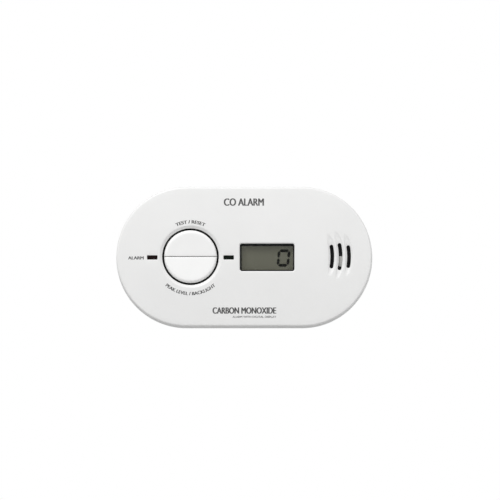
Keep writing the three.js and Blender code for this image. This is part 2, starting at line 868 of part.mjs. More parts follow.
function hornCap() {
  const { r } = HORN;
  const lid = turned(
    [
      [0, 33.3],
      [r, 33.3],
      [r, 34.3],
      [5.4, 34.3],
      [4.2, 34.7],
      [0, 34.7],
    ],
    24,
  );
  const seat = post(0, 0, 3.2, 34.4, 36);
  return cut(lid, post(0, 0, 2.2, 32, 36), seat);
}

add("horn_base", hornBase(), MATERIALS.black, HORN.x, HORN.y);
add("horn_cap", hornCap(), MATERIALS.black, HORN.x, HORN.y);
add("piezo_disc", post(0, 0, 9.7, 30.9, 31.3, 9.7, 24), MATERIALS.brass, HORN.x, HORN.y);
add("port_screen", post(0, 0, 2.95, 34.5, 34.95), MATERIALS.felt, HORN.x, HORN.y);

// ---------------------------------------------------------------- cells and contacts

// A cell along x about its middle, with its positive end at the right.
function cell() {
  const { r, body, nubR, nub } = CELL;
  const end = body / 2;
  const edge = 0.5;
  const profile = [
    [0, -end],
    [r - edge, -end],
    [r, -end + edge],
    [r, end - edge],
    [r - edge, end],
    [nubR, end],
    [nubR, end + nub],
    [0, end + nub],
  ];
  return turned(profile, 20).rotate([0, 90, 0]);
}

const CELL_X = CONTACT_X - CONTACT.bump - GAP - CELL.nub - CELL.body / 2;
const CELL_ROWS = [
  { y: CELL.pitch, positive: -1 },
  { y: 0, positive: 1 },
  { y: -CELL.pitch, positive: -1 },
];
for (const [index, { y, positive }] of CELL_ROWS.entries()) {
  const name = `battery_${index + 1}`;
  const mesh = add(name, cell(), MATERIALS.cellWrap, positive * CELL_X, y, CELL.z);
  mesh.rotation.z = positive > 0 ? 0 : HALF_TURN;
}

// A contact plate at the bay's end wall, with a bump for each positive end that it meets.
function contactPlate(side, rows, bumps) {
  const [inner, outer] = [side * CONTACT_X, side * (CONTACT_X + CONTACT.t)];
  const [x0, x1] = [inner, outer].sort((a, b) => a - b);
  const ys = rows.map((row) => CELL_ROWS[row].y);
  const [low, high] = [Math.min(...ys) - 5.6, Math.max(...ys) + 5.6];
  const half = CONTACT.h / 2;
  const plate = block(x0, x1, low, high, CELL.z - half, CELL.z + half);
  const bumpEnds = [inner - side * CONTACT.bump, inner + side * 0.2];
  const ends = bumpEnds.sort((a, b) => a - b);
  const studs = bumps.map((row) =>
    axle(...ends, CELL_ROWS[row].y, CELL.z, CONTACT.bumpR, 16),
  );
  return join(plate, ...studs);
}

// The tab that takes a contact out through the bay's end wall to its wire.
function contactTab(side, y) {
  const ends = [side * (CONTACT_X + 0.1), side * 33.4].sort((a, b) => a - b);
  return block(...ends, y - 1.5, y + 1.5, 14.4, 14.9);
}

const leftTab = contactTab(-1, CELL.pitch);
const rightTab = contactTab(1, -CELL.pitch);
add("contact_positive", join(contactPlate(-1, [0], [0]), leftTab), MATERIALS.steel);
add("contact_link_right", contactPlate(1, [0, 1], [1]), MATERIALS.steel);
add("contact_link_left", contactPlate(-1, [1, 2], [2]), MATERIALS.steel);
add("contact_negative", join(contactPlate(1, [2], []), rightTab), MATERIALS.steel);

class ConeHelix extends THREE.Curve {
  getPoint(t, target = new THREE.Vector3()) {
    const angle = 2 * HALF_TURN * SPRING.turns * t;
    const r = SPRING.baseR + (SPRING.tipR - SPRING.baseR) * t;
    return target.set(SPRING.length * t, r * Math.cos(angle), r * Math.sin(angle));
  }
}

function roundSection(r, sides) {
  return new THREE.Shape(arc(0, 0, r, 0, 2 * HALF_TURN, sides).slice(0, -1));
}

function contactSpring() {
  const settings = { steps: 28, extrudePath: new ConeHelix() };
  return solid(new THREE.ExtrudeGeometry(roundSection(SPRING.wire, 4), settings));
}

const SPRING_X = CONTACT_X - GAP - SPRING.wire;
for (const [index, { y, positive }] of CELL_ROWS.entries()) {
  const name = `contact_spring_${index + 1}`;
  const mesh = add(name, contactSpring(), MATERIALS.steel, -positive * SPRING_X, y, CELL.z);
  mesh.rotation.z = positive > 0 ? 0 : HALF_TURN;
}

// A soldered wire from a contact tab up to the back of the board.
function lead(side, y) {
  const path = new THREE.CatmullRomCurve3([
    new THREE.Vector3(side * 33.2, y, 15.9),
    new THREE.Vector3(side * 33.6, y - side, 17.6),
    new THREE.Vector3(side * 35.2, y - side * 3, 20),
    new THREE.Vector3(side * 35.8, y - side * 5, 23),
    new THREE.Vector3(side * 35.6, y - side * 5, 25.9),
  ]);
  const settings = { steps: 10, extrudePath: path };
  return solid(new THREE.ExtrudeGeometry(roundSection(0.7, 8), settings));
}

add("lead_positive", lead(-1, CELL.pitch), MATERIALS.redWire);
add("lead_negative", lead(1, -CELL.pitch), MATERIALS.blackWire);

// ---------------------------------------------------------------- screws

const caseScrew = panScrew({ headR: 2.8, headH: 2, shankR: 1.3, length: 16 });
const smallScrew = panScrew({ headR: 2, headH: 1.3, shankR: 0.95, length: 5.4 });
const shortScrew = panScrew({ headR: 2, headH: 1.3, shankR: 0.95, length: 3.6 });

function addScrews(name, body, places, seatZ) {
  for (const [index, [x, y]] of places.entries()) {
    add(`${name}_${index + 1}`, body, MATERIALS.steel, x, y, seatZ);
  }
}

addScrews("case_screw", caseScrew, CASE_SCREWS, REAR_BOSS.wellDepth - GAP);
addScrews("board_screw", smallScrew, BOARD_SCREWS, BOARD.z - GAP);
addScrews("carrier_screw", shortScrew, CARRIER_SCREWS, CARRIER.bottom - GAP);

export default alarm;
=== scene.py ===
import json
import math

import bmesh
import bpy
from mathutils import Matrix, Vector
from mathutils.geometry import delaunay_2d_cdt
from mathutils.kdtree import KDTree


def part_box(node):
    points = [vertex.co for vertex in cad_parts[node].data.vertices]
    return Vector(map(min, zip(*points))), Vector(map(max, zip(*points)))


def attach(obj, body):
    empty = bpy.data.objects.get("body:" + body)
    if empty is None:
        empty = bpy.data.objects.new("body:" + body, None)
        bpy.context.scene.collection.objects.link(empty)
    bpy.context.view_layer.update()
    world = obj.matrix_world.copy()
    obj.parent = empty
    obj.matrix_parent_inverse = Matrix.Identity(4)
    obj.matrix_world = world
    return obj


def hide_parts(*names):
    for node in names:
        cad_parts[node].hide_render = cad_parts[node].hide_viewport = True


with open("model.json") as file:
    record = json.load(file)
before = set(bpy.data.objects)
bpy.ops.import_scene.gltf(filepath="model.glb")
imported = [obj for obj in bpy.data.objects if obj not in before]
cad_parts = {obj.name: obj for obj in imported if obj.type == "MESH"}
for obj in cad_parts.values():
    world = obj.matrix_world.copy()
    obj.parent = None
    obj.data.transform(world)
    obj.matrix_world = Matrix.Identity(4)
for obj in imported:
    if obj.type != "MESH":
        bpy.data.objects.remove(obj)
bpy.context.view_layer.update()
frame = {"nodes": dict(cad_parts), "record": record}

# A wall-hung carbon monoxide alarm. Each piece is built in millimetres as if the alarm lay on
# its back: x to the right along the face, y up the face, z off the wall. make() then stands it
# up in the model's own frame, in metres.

MM = 0.001
TURN = 2 * math.pi
STAND = Matrix(((MM, 0, 0, 0), (0, 0, -MM, 0), (0, MM, 0, 0), (0, 0, 0, 1)))


class Span:
    """Where a CAD node lies: its limits, middle and size in millimetres, in the lying frame."""

    def __init__(self, node):
        low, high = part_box(node)
        self.x0, self.x1 = low.x / MM, high.x / MM
        self.y0, self.y1 = low.z / MM, high.z / MM
        self.z0, self.z1 = -high.y / MM, -low.y / MM
        self.x, self.y = (self.x0 + self.x1) / 2, (self.y0 + self.y1) / 2
        self.z = (self.z0 + self.z1) / 2
        self.w, self.h = self.x1 - self.x0, self.y1 - self.y0


# ---------------- places from the frame, and driving sizes

FRONT = Span("front_cover")
REAR = Span("rear_cover")
GLASS = Span("display_glass")
HOLDER = Span("display_holder")
BOARD = Span("circuit_board")
CARRIER = Span("key_carrier")
TEST_KEY = Span("test_key")
CASE_SCREWS = [Span(f"case_screw_{i}") for i in (1, 2, 3, 4)]
BOARD_SCREWS = [Span(f"board_screw_{i}") for i in (1, 2, 3)]
CARRIER_SCREWS = [Span(f"carrier_screw_{i}") for i in (1, 2)]
CELLS = [Span(f"battery_{i}") for i in (1, 2, 3)]

GAP = 0.3
END_R = REAR.h / 2  # radius of the case's round ends
SPINE = (REAR.w - REAR.h) / 2  # half the straight run between the ends
WALL = 2.2
PART_LINE = FRONT.z0  # where the front cover starts
REAR_TOP = PART_LINE - GAP  # the rear cover's rim, under it
DRAFT = 0.5
EDGE_R = 1.4
DOME = 1.3
FACE_TOP = FRONT.z1 + 0.2  # the middle of the dome, just over the faceted one
CEILING = 35.4  # the flat inside of the face

KEY_X = TEST_KEY.x
KEY_R = 15.1
KEY_HOLE = 16.2
DISH_WIDTH = 1.6  # the shallow slope round the hole
DISH_DEPTH = 1.1

LIGHTS = [Span("alarm_light_lens"), Span("power_light_lens")]
LIGHT_W, LIGHT_H = 5.9, 2.35
DISPLAY_W, DISPLAY_H, DISPLAY_CORNER = 31.2, 15.7, 1.2

GRILLE_X = Span("horn_base").x
GRILLE_PITCH = 4.8
GRILLE_BEND = 33
SLOT_HALF_W = 1.05
SLOT_HALF_LENGTHS = (6.8, 7.8, 6.5)
DIMPLE_HALF_W = 2.25
DIMPLE_HALF_LENGTHS = (12.2, 14.3, 12.3)
DIMPLE_RISE = 1
DIMPLE_DEPTH = 1.3

BAY_HALF_X, BAY_HALF_Y, BAY_TOP, BAY_WALL = 29, 23.4, 17.6, 1.6
CELL_PITCH = CELLS[0].y - CELLS[1].y
HINGE_Y, HINGE_Z = 25, 1.65
KEYHOLE_X, KEYHOLE_Y, KEYHOLE_HEAD, KEYHOLE_SHANK, KEYHOLE_RISE = 52, -2, 4.5, 2.3, 9

DOOR_HALF_X = 31.5
DOOR_LOW = Span("battery_door").y0
DOOR_Z, DOOR_THICKNESS = 0.35, 1.8
KNUCKLE_R, PIN_R, PIN_REACH = 1.25, 0.95, 33.3
KNUCKLE_X = 18  # inner end of each knuckle
LATCH_HALF = 7

END_STEPS = 72  # facets round each end of the case, and round half the button
RUNS = 24  # parts that a long straight side is divided into
RIM = 0.28  # fillet round the small openings
BACK_CHAMFER = 0.3  # chamfer round the openings in the back

# ---------------- flat outlines


def arc(cx, cy, r, start, end, steps):
    """Points along an arc, both ends included. Angles are in radians."""
    angles = [start + (end - start) * i / steps for i in range(steps + 1)]
    return [(cx + r * math.cos(a), cy + r * math.sin(a)) for a in angles]


def circle(cx, cy, r, steps):
    return arc(cx, cy, r, 0, TURN, steps)[:-1]


def rounded_rectangle(cx, cy, w, h, r, steps=6):
    """Counter-clockwise from the lower right corner."""
    points = []
    for sx, sy, quarter in ((1, -1, 3), (1, 1, 0), (-1, 1, 1), (-1, -1, 2)):
        start = quarter * TURN / 4
        corner = (cx + sx * (w / 2 - r), cy + sy * (h / 2 - r))
        points += arc(*corner, r, start, start + TURN / 4, steps)
    return points


def pill(inset):
    """The case's outline, taken in by inset all round, with points along its straight sides."""
    r = END_R - inset
    right = arc(SPINE, 0, r, -TURN / 4, TURN / 4, END_STEPS)
    left = arc(-SPINE, 0, r, TURN / 4, 3 * TURN / 4, END_STEPS)
    fractions = [i / RUNS for i in range(1, RUNS)]
    top = [(SPINE - 2 * SPINE * t, r) for t in fractions]
    bottom = [(-SPINE + 2 * SPINE * t, -r) for t in fractions]
    return right + top + left + bottom


def pill_inset(x, y):
    """How far a point is inside the case's outline."""
    return END_R - math.hypot(max(abs(x) - SPINE, 0), y)


# ---------------- openings in the face


class RoundHole:
    def __init__(self, x, y, r):
        self.x, self.y, self.r = x, y, r

    def distance(self, x, y):
        """Distance outside the hole's edge, negative inside it."""
        return math.hypot(x - self.x, y - self.y) - self.r

    def outline(self, offset):
        return circle(self.x, self.y, self.r + offset, 128)


class BoxHole:
    def __init__(self, x, y, w, h, corner):
        self.x, self.y, self.w, self.h, self.corner = x, y, w, h, corner

    def distance(self, x, y):
        dx = abs(x - self.x) - self.w / 2 + self.corner
        dy = abs(y - self.y) - self.h / 2 + self.corner
        outside = math.hypot(max(dx, 0), max(dy, 0))
        return outside + min(max(dx, dy), 0) - self.corner

    def outline(self, offset):
        size = (self.w + 2 * offset, self.h + 2 * offset)
        corners = rounded_rectangle(self.x, self.y, *size, self.corner + offset)
        return refine(corners, 1.2)


def refine(points, longest):
    """Adds points along a closed outline's long edges."""
    result = []
    for (ax, ay), (bx, by) in zip(points, points[1:] + points[:1]):
        parts = max(1, math.ceil(math.hypot(bx - ax, by - ay) / longest))
        result += [(ax + (bx - ax) * i / parts, ay + (by - ay) * i / parts) for i in range(parts)]
    return result


class Slot:
    """One curved slot of the grille and the long dimple that it lies in."""

    def __init__(self, x, half_length, dimple_half_length):
        self.cx = x - GRILLE_BEND
        self.half_length = half_length
        self.dimple_half_length = dimple_half_length

    def along(self, x, y):
        """(distance along the arc, distance across it)."""
        angle = math.atan2(y, x - self.cx)
        return angle * GRILLE_BEND, math.hypot(x - self.cx, y) - GRILLE_BEND

    def place(self, s, t):
        angle = s / GRILLE_BEND
        r = GRILLE_BEND + t
        return self.cx + r * math.cos(angle), r * math.sin(angle)

    def distance(self, x, y):
        s, t = self.along(x, y)
        return math.hypot(t, max(abs(s) - self.half_length + SLOT_HALF_W, 0)) - SLOT_HALF_W

    def outline(self, offset):
        r = SLOT_HALF_W + offset
        straight = self.half_length - SLOT_HALF_W
        upper = arc(straight, 0, r, -TURN / 4, TURN / 4, 14)
        lower = arc(-straight, 0, r, TURN / 4, 3 * TURN / 4, 14)
        flat = refine(upper + lower, 0.8)
        return [self.place(s, -t) for s, t in reversed(flat)]

    def dimple_share(self, x, y):
        """0 in the middle of the dimple, 1 on its edge."""
        s, t = self.along(x, y)
        return (t / DIMPLE_HALF_W) ** 2 + ((s - DIMPLE_RISE) / self.dimple_half_length) ** 2

    def dimple_ring(self, share):
        scale = math.sqrt(share)
        flat = [
            (self.dimple_half_length * c, DIMPLE_HALF_W * s) for c, s in circle(0, 0, scale, 80)
        ]
        return [self.place(s + DIMPLE_RISE, t) for s, t in flat]


KEY_WELL = RoundHole(KEY_X, 0, KEY_HOLE)
DISPLAY_HOLE = BoxHole(GLASS.x, GLASS.y, DISPLAY_W, DISPLAY_H, DISPLAY_CORNER)
LIGHT_HOLES = [BoxHole(span.x, span.y, LIGHT_W, LIGHT_H, 0.25) for span in LIGHTS]
SLOTS = [
    Slot(GRILLE_X + (i - 1) * GRILLE_PITCH, slot, dimple)
    for i, (slot, dimple) in enumerate(zip(SLOT_HALF_LENGTHS, DIMPLE_HALF_LENGTHS))
]
FACE_HOLES = [KEY_WELL, DISPLAY_HOLE, *LIGHT_HOLES, *SLOTS]
RIMS = {KEY_WELL: 0.3, DISPLAY_HOLE: 0.8}

# ---------------- the face's shape


def ramp(value, blend):
    """value where it is positive, 0 where it is negative, with a smooth bend between."""
    if value <= -blend:
        return 0.0
    if value >= blend:
        return value
    return (value + blend) ** 2 / (4 * blend)


ON_EDGE = 1e-4  # points this close to an edge are taken to lie on it


def fillet_drop(distance, radius):
    """How far a rounded rim has dropped at a distance from its edge."""
    if distance >= radius:
        return 0.0
    reach = radius - max(distance - ON_EDGE, 0)
    return radius - math.sqrt(radius * radius - reach * reach)


def dome_z(inset):
    return FACE_TOP - DOME * (1 - inset / END_R) ** 2


RIM_SLOPE = math.atan(2 * DOME / END_R)
ROUND_END = TURN / 4 - RIM_SLOPE  # the edge's arc stops where it meets the dome's slope
ROUND_INSET = DRAFT + EDGE_R * (1 - math.cos(ROUND_END))
ROUND_CENTRE = dome_z(ROUND_INSET) - EDGE_R * math.sin(ROUND_END)


def face_z(x, y):
    """Height of the front cover's outer surface."""
    inset = pill_inset(x, y)
    if inset < ROUND_INSET:
        return ROUND_CENTRE + EDGE_R - fillet_drop(inset - DRAFT, EDGE_R)
    z = dome_z(inset)
    z -= DISH_DEPTH / DISH_WIDTH * ramp(DISH_WIDTH - KEY_WELL.distance(x, y), 0.3)
    for slot in SLOTS:
        z -= ramp(DIMPLE_DEPTH * (1 - slot.dimple_share(x, y)), 0.12)
    for hole in FACE_HOLES:
        z -= fillet_drop(hole.distance(x, y), RIMS.get(hole, RIM))
    return z


# ---------------- mesh building


class Solid:
    """Faces of one closed mesh, in the lying frame."""

    def __init__(self):
        self.verts = []
        self.faces = []

    def add(self, verts, faces):
        start = len(self.verts)
        self.verts += [tuple(v) for v in verts]
        self.faces += [[start + i for i in face] for face in faces]

    def bridge(self, first, second):
        """A band of faces between two closed loops of as many points."""
        count = len(first)
        band = [[i, (i + 1) % count, count + (i + 1) % count, count + i] for i in range(count)]
        self.add(list(first) + list(second), band)

    def lid(self, loop):
        self.add(loop, [list(range(len(loop)))])


def at(z, points):
    return [(x, y, z) for x, y in points]


def mesh_object(name, solid):
    """A Blender object from a Solid, its doubled points welded and its faces turned outwards."""
    mesh = bpy.data.meshes.new(name)
    mesh.from_pydata(solid.verts, [], solid.faces)
    work = bmesh.new()
    work.from_mesh(mesh)
    bmesh.ops.remove_doubles(work, verts=work.verts, dist=1e-4)
    bmesh.ops.recalc_face_normals(work, faces=work.faces)
    work.to_mesh(mesh)
    work.free()
    thing = bpy.data.objects.new(name, mesh)
    bpy.context.scene.collection.objects.link(thing)
    return thing


def boolean(target, tools, operation):
    """Joins the tools to target or cuts them from it, and deletes them."""
    for tool in tools:
        step = target.modifiers.new("boolean", "BOOLEAN")
        step.solver = "MANIFOLD"
        step.operation = operation
        step.object = tool
    graph = bpy.context.evaluated_depsgraph_get()
    result = bpy.data.meshes.new_from_object(target.evaluated_get(graph))
    target.modifiers.clear()
    target.data = result
    for tool in tools:
        bpy.data.objects.remove(tool)


def loft(name, loops, ring=False):
    """A closed mesh through loops of as many points, with a lid at each end unless it is a ring."""
    solid = Solid()
    following = loops[1:] + loops[:1] if ring else loops[1:]
    for lower, upper in zip(loops, following):
        solid.bridge(lower, upper)
    if not ring:
        solid.lid(loops[0])
        solid.lid(loops[-1])
    return mesh_object(name, solid)


def slab(name, outline, z0, z1, edge=0.3, steps=4):
    """A plate with rounded edges. outline(inset) gives its outline, taken in by inset."""
    turns = [TURN / 4 * i / steps for i in range(steps + 1)]
    insets = [(edge * (1 - math.sin(a)), edge * (1 - math.cos(a))) for a in turns]
    lower = [at(z0 + rise, outline(inset)) for inset, rise in insets]
    upper = [at(z1 - rise, outline(inset)) for inset, rise in reversed(insets)]
    return loft(name, lower + upper)


def box_outline(x0, x1, y0, y1, corner, steps=5):
    """outline(inset) for slab() and mouth() of a rectangle with round corners."""

    def outline(inset):
        size = (x1 - x0 - 2 * inset, y1 - y0 - 2 * inset)
        radius = max(corner - inset, 0.05)
        return rounded_rectangle((x0 + x1) / 2, (y0 + y1) / 2, *size, radius, steps)

    return outline


def outline_of(span, corner):
    return box_outline(span.x0, span.x1, span.y0, span.y1, corner)


def about(x, y, half_w, half_h):
    """The limits of a box about a point, as block() and box_outline() take them."""
    return x - half_w, x + half_w, y - half_h, y + half_h


def block(name, x0, x1, y0, y1, z0, z1, corner=0.3, edge=0.15):
    return slab(name, box_outline(x0, x1, y0, y1, corner, 3), z0, z1, edge, 2)


def mouth(outline, top):
    """A cutter from under the back up to a height, with a chamfered mouth where it enters."""
    loops = [
        at(-1, outline(-BACK_CHAMFER - 1)),
        at(0, outline(-BACK_CHAMFER)),
        at(BACK_CHAMFER, outline(0)),
        at(top, outline(0)),
    ]
    return loft("mouth", loops)


def soften(profile, radius):
    """Rounds the inner corners of an open profile."""
    steps = 3
    points = [Vector(p) for p in profile]
    result = [points[0]]
    for before, corner, after in zip(points, points[1:], points[2:]):
        into, out = before - corner, after - corner
        reach = min(radius, into.length * 0.45, out.length * 0.45)
        start, end = corner + into.normalized() * reach, corner + out.normalized() * reach
        for i in range(steps + 1):
            t = i / steps
            result.append(start * (1 - t) ** 2 + corner * (2 * t * (1 - t)) + end * t * t)
    return [tuple(p) for p in result + [points[-1]]]


def turned(name, centre, profile, steps=64, along="z", edge=0.15):
    """A turned piece from [radius, distance] pairs along its axis, with softened corners."""
    x, y, z = centre
    loops = []
    for r, reach in soften(profile, edge):
        ring = circle(0, 0, max(r, 0.01), steps)
        if along == "z":
            loops.append([(x + u, y + v, z + reach) for u, v in ring])
        else:
            loops.append([(x + reach, y + u, z + v) for u, v in ring])
    return loft(name, loops)


def axle(name, x0, x1, y, z, r, steps=32, edge=0.12):
    profile = [(r - edge, x0), (r, x0 + edge), (r, x1 - edge), (r - edge, x1)]
    return turned(name, (0, y, z), profile, steps, "x", 0.01)


def wire(name, points, r):
    """A round wire along a smooth path of close points."""
    loops = []
    count = len(points)
    for i, point in enumerate(points):
        along = points[min(i + 1, count - 1)] - points[max(i - 1, 0)]
        side = along.cross(Vector((0.2, 0.3, 1))).normalized()
        up = along.cross(side).normalized()
        loops.append([point + side * u + up * v for u, v in circle(0, 0, r, 12)])
    return loft(name, loops)


def make(thing, slot, body, *nodes, crease=35, finish=None):
    """Stands a piece up, gives it its slot's finish or one of its own, and replaces CAD nodes."""
    mesh = thing.data
    mesh.transform(STAND)
    mesh.shade_smooth()
    mesh.set_sharp_from_angle(angle=math.radians(crease))
    mesh.materials.clear()
    mesh.materials.append(finish or FINISHES[slot])
    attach(thing, body)
    if nodes:
        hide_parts(*nodes)


def cylinder(name, x, y, r, z0, z1, steps=48):
    return loft(name, [at(z, circle(x, y, r, steps)) for z in (z0, z1)])


def triangulate(rings, loose, keep):
    """Triangles through closed rings and loose points, where keep(x, y) is true."""
    points = []
    edges = []
    for ring in rings:
        start = len(points)
        points += ring
        edges += [(start + i, start + (i + 1) % len(ring)) for i in range(len(ring))]
    points += loose
    coords = [Vector(p) for p in points]
    verts, _, faces, _, _, _ = delaunay_2d_cdt(coords, edges, [], 0, 1e-5, False)
    kept = []
    for face in faces:
        middle = sum((verts[i] for i in face), Vector((0, 0))) / 3
        if keep(middle.x, middle.y):
            kept.append(list(face))
    return [(v.x, v.y) for v in verts], kept


def loose_points(rings, pitch, keep):
    """A triangular grid of points that stay clear of the rings."""
    tree = KDTree(sum(len(ring) for ring in rings))
    for index, (x, y) in enumerate(p for ring in rings for p in ring):
        tree.insert((x, y, 0), index)
    tree.balance()
    rows = math.ceil(2 * END_R / (pitch * 0.866))
    columns = math.ceil(FRONT.w / pitch)
    points = []
    for row in range(rows):
        y = -END_R + row * pitch * 0.866
        for column in range(columns):
            x = -FRONT.w / 2 + (column + row % 2 / 2) * pitch
            if keep(x, y) and tree.find((x, y, 0))[2] > 0.55 * pitch:
                points.append((x, y))
    return points


# ---------------- front cover


def in_face(x, y):
    return pill_inset(x, y) > DRAFT and all(hole.distance(x, y) > 0 for hole in FACE_HOLES)


def fillet_offsets(radius):
    """Distances from an opening's edge that follow its rounded rim evenly."""
    steps = 4
    return [radius * (1 - math.cos(TURN / 4 * i / steps)) for i in range(steps + 1)]


def face_rings():
    edge_angles = [ROUND_END * i / 9 for i in range(10)]
    rings = [pill(DRAFT + EDGE_R * (1 - math.cos(a))) for a in edge_angles]
    rings += [pill(inset) for inset in (4.3, 5.4, 7.2)]
    for hole in FACE_HOLES:
        radius = RIMS.get(hole, RIM)
        offsets = fillet_offsets(radius)
        if hole not in LIGHT_HOLES:
            offsets.append(radius + 0.12)
        rings += [hole.outline(offset) for offset in offsets]
    steps = (-1, -0.65, -0.3, -0.15, 0, 0.15, 0.3)
    rings += [KEY_WELL.outline(DISH_WIDTH + step) for step in steps]
    for slot in SLOTS:
        rings += [slot.dimple_ring(share) for share in (0.58, 0.68, 0.8, 0.92, 1, 1.09)]
    return rings


def front_shell():
    """The cover as one closed shell: face, openings' walls, sides, rim and flat ceiling."""
    rings = face_rings()
    verts, faces = triangulate(rings, loose_points(rings, 2.6, in_face), in_face)
    shell = Solid()
    shell.add([(x, y, face_z(x, y)) for x, y in verts], faces)

    chamfer = 0.22
    ceiling_inset = WALL + DRAFT + 1.2
    inner = pill(ceiling_inset)
    side = [
        at(ROUND_CENTRE, pill(DRAFT)),
        at((ROUND_CENTRE + PART_LINE) / 2, pill(DRAFT / 2)),
        at(PART_LINE + chamfer, pill(0)),
        at(PART_LINE, pill(chamfer)),
        at(PART_LINE, pill(WALL)),
        at(CEILING - EDGE_R + 1, pill(WALL + DRAFT)),
        at(CEILING, inner),
    ]
    for upper, lower in zip(side, side[1:]):
        shell.bridge(upper, lower)

    outlines = [hole.outline(0) for hole in FACE_HOLES]
    for outline in outlines:
        rim = [(x, y, face_z(x, y)) for x, y in outline]
        shell.bridge(rim, at(CEILING, outline))
    verts, faces = triangulate(
        [inner, *outlines],
        [],
        lambda x, y: pill_inset(x, y) > ceiling_inset and in_face(x, y),
    )
    shell.add([(x, y, CEILING) for x, y in verts], faces)
    return mesh_object("front_cover_shell", shell)


def front_cover():
    shell = front_shell()
    root = CEILING + 0.6
    posts, pilots = [], []
    for screws_of_kind, post_r, foot, pilot_r, start, end in (
        (CASE_SCREWS, 3.4, PART_LINE + 0.4, 1.6, 15, 28),
        (BOARD_SCREWS, 2.6, BOARD.z1 + GAP, 1.25, 27, 34),
        (CARRIER_SCREWS, 2.4, 33.3, 1.25, 33, 35.2),
    ):
        posts += [cylinder("boss", s.x, s.y, post_r, foot, root) for s in screws_of_kind]
        pilots += [cylinder("pilot", s.x, s.y, pilot_r, start, end) for s in screws_of_kind]
    boolean(shell, posts, "UNION")
    boolean(shell, pilots, "DIFFERENCE")
    shell.name = "front_cover_moulding"
    make(shell, "case_plastic", "case", "front_cover")


# ---------------- split button

KEY_MIDDLE_Z = 37.35  # height of the caps at the split
KEY_SLOPE = 0.07  # each half falls towards the split
KEY_SPLIT = 0.15  # half the gap between the halves
KEY_RIM = 1.9
SPLIT_RIM = 0.55
CAP_THICKNESS = 2.1
SKIRT_Z, SKIRT_WALL = 33.2, 1.6
PIN_Y, PIN_Z, KEY_PIN_R, PIN_START, PIN_END = 1.8, 33.8, 1, 13.9, 17.3  # hinge pins
CATCH_HALF_X, CATCH_Z, CATCH_REACH = 2.8, 29.9, 17.1
STEM_Y, STEM_R = 9, 1.5


def half_disc(r, low):
    """A half disc's outline about the button's centre, with points along its straight edge."""
    start = math.asin(low / r)
    bow = arc(0, 0, r, start, TURN / 2 - start, END_STEPS)
    reach = math.sqrt(r * r - low * low)
    return bow + [(-reach + 2 * reach * i / RUNS, low) for i in range(1, RUNS)]


def key_z(x, y):
    z = KEY_MIDDLE_Z + KEY_SLOPE * y
    z -= fillet_drop(KEY_R - math.hypot(x, y), KEY_RIM)
    return z - fillet_drop(y - KEY_SPLIT, SPLIT_RIM)


def key_cap(name):
    """The cap of the upper half, about the button's centre."""
    shares = [1 - math.cos(TURN / 4 * i / 8) for i in range(9)]
    rings = [half_disc(KEY_R - KEY_RIM * s, KEY_SPLIT + SPLIT_RIM * s) for s in shares]
    outline = rings[0]

    def inside(x, y):
        return math.hypot(x, y) < KEY_R and y > KEY_SPLIT

    grid = loose_points(rings, 1.6, lambda x, y: inside(x, y) and y > KEY_SPLIT + SPLIT_RIM)
    verts, faces = triangulate(rings, grid, inside)
    cap = Solid()
    cap.add([(x, y, key_z(x, y)) for x, y in verts], faces)
    rim = [(x, y, key_z(x, y)) for x, y in outline]
    base = [(x, y, KEY_MIDDLE_Z - CAP_THICKNESS + KEY_SLOPE * y) for x, y in outline]
    cap.bridge(base, rim)
    cap.lid(base)
    return mesh_object(name, cap)


def key_half(node, body, side):
    """One half of the button: cap, skirt and switch stem, with a catch and hinge pins in black as
    painted shade in the gap round the button.
    """
    under = KEY_MIDDLE_Z - CAP_THICKNESS + 0.6
    inner_r = KEY_R - SKIRT_WALL
    leg_face = KEY_R - 0.1
    cap = key_cap(f"{node}_moulding")
    skirt = cylinder("skirt", 0, 0, KEY_R - 0.01, SKIRT_Z, under, 96)
    boolean(skirt, [cylinder("bore", 0, 0, inner_r, SKIRT_Z - 1, under + 1, 96)], "DIFFERENCE")
    boolean(skirt, [block("half", -20, 20, -20, KEY_SPLIT, 30, 42)], "DIFFERENCE")
    inside = [
        skirt,
        block("spine", -14.4, 14.4, KEY_SPLIT + 0.01, 1.6, SKIRT_Z + 1, under),
        block("leg", -CATCH_HALF_X, CATCH_HALF_X, inner_r, leg_face, CATCH_Z, SKIRT_Z + 1),
        cylinder("stem", 0, STEM_Y, STEM_R, Span("test_switch_plunger").z1 + GAP, under + 0.3),
    ]
    boolean(cap, inside, "UNION")
    # The catch and hinge pins get black plastic as painted shade, so that the gap round the button looks
    # dark.
    hook = (leg_face + 0.02, CATCH_REACH, CATCH_Z, CARRIER.z0 - GAP)
    catch = block(f"{node}_catch", -CATCH_HALF_X, CATCH_HALF_X, *hook)
    ends = ((-PIN_END, -PIN_START), (PIN_START, PIN_END))
    pins = [axle("pin", *span, PIN_Y, PIN_Z, KEY_PIN_R) for span in ends]
    boolean(catch, pins, "UNION")
    turn = Matrix.Rotation(0 if side > 0 else TURN / 2, 4, "Z")
    for piece in (cap, catch):
        piece.data.transform(Matrix.Translation((KEY_X, 0, 0)) @ turn)
    make(cap, "key_plastic", body, node, crease=40)
    make(catch, "black_plastic", body)


# ---------------- rear cover


def rear_shell():
    """The rear moulding's tray, with a round back edge and a chamfered rim."""
    lean, round_r = 0.55, 2.6
    edge = [TURN / 4 * (1 - i / 8) for i in range(9)]
    chamfer = 0.22
    outside = [
        (lean + round_r * (1 - math.cos(a)), round_r * (1 - math.sin(a))) for a in edge
    ] + [(lean / 2, 9), (0, REAR_TOP - chamfer), (chamfer, REAR_TOP)]
    inside = [(WALL, REAR_TOP), (WALL, REAR_TOP - 2), (WALL + 0.6, WALL + 1.4), (WALL + 1.4, WALL)]
    return loft("rear_cover_moulding", [at(z, pill(inset)) for inset, z in outside + inside])


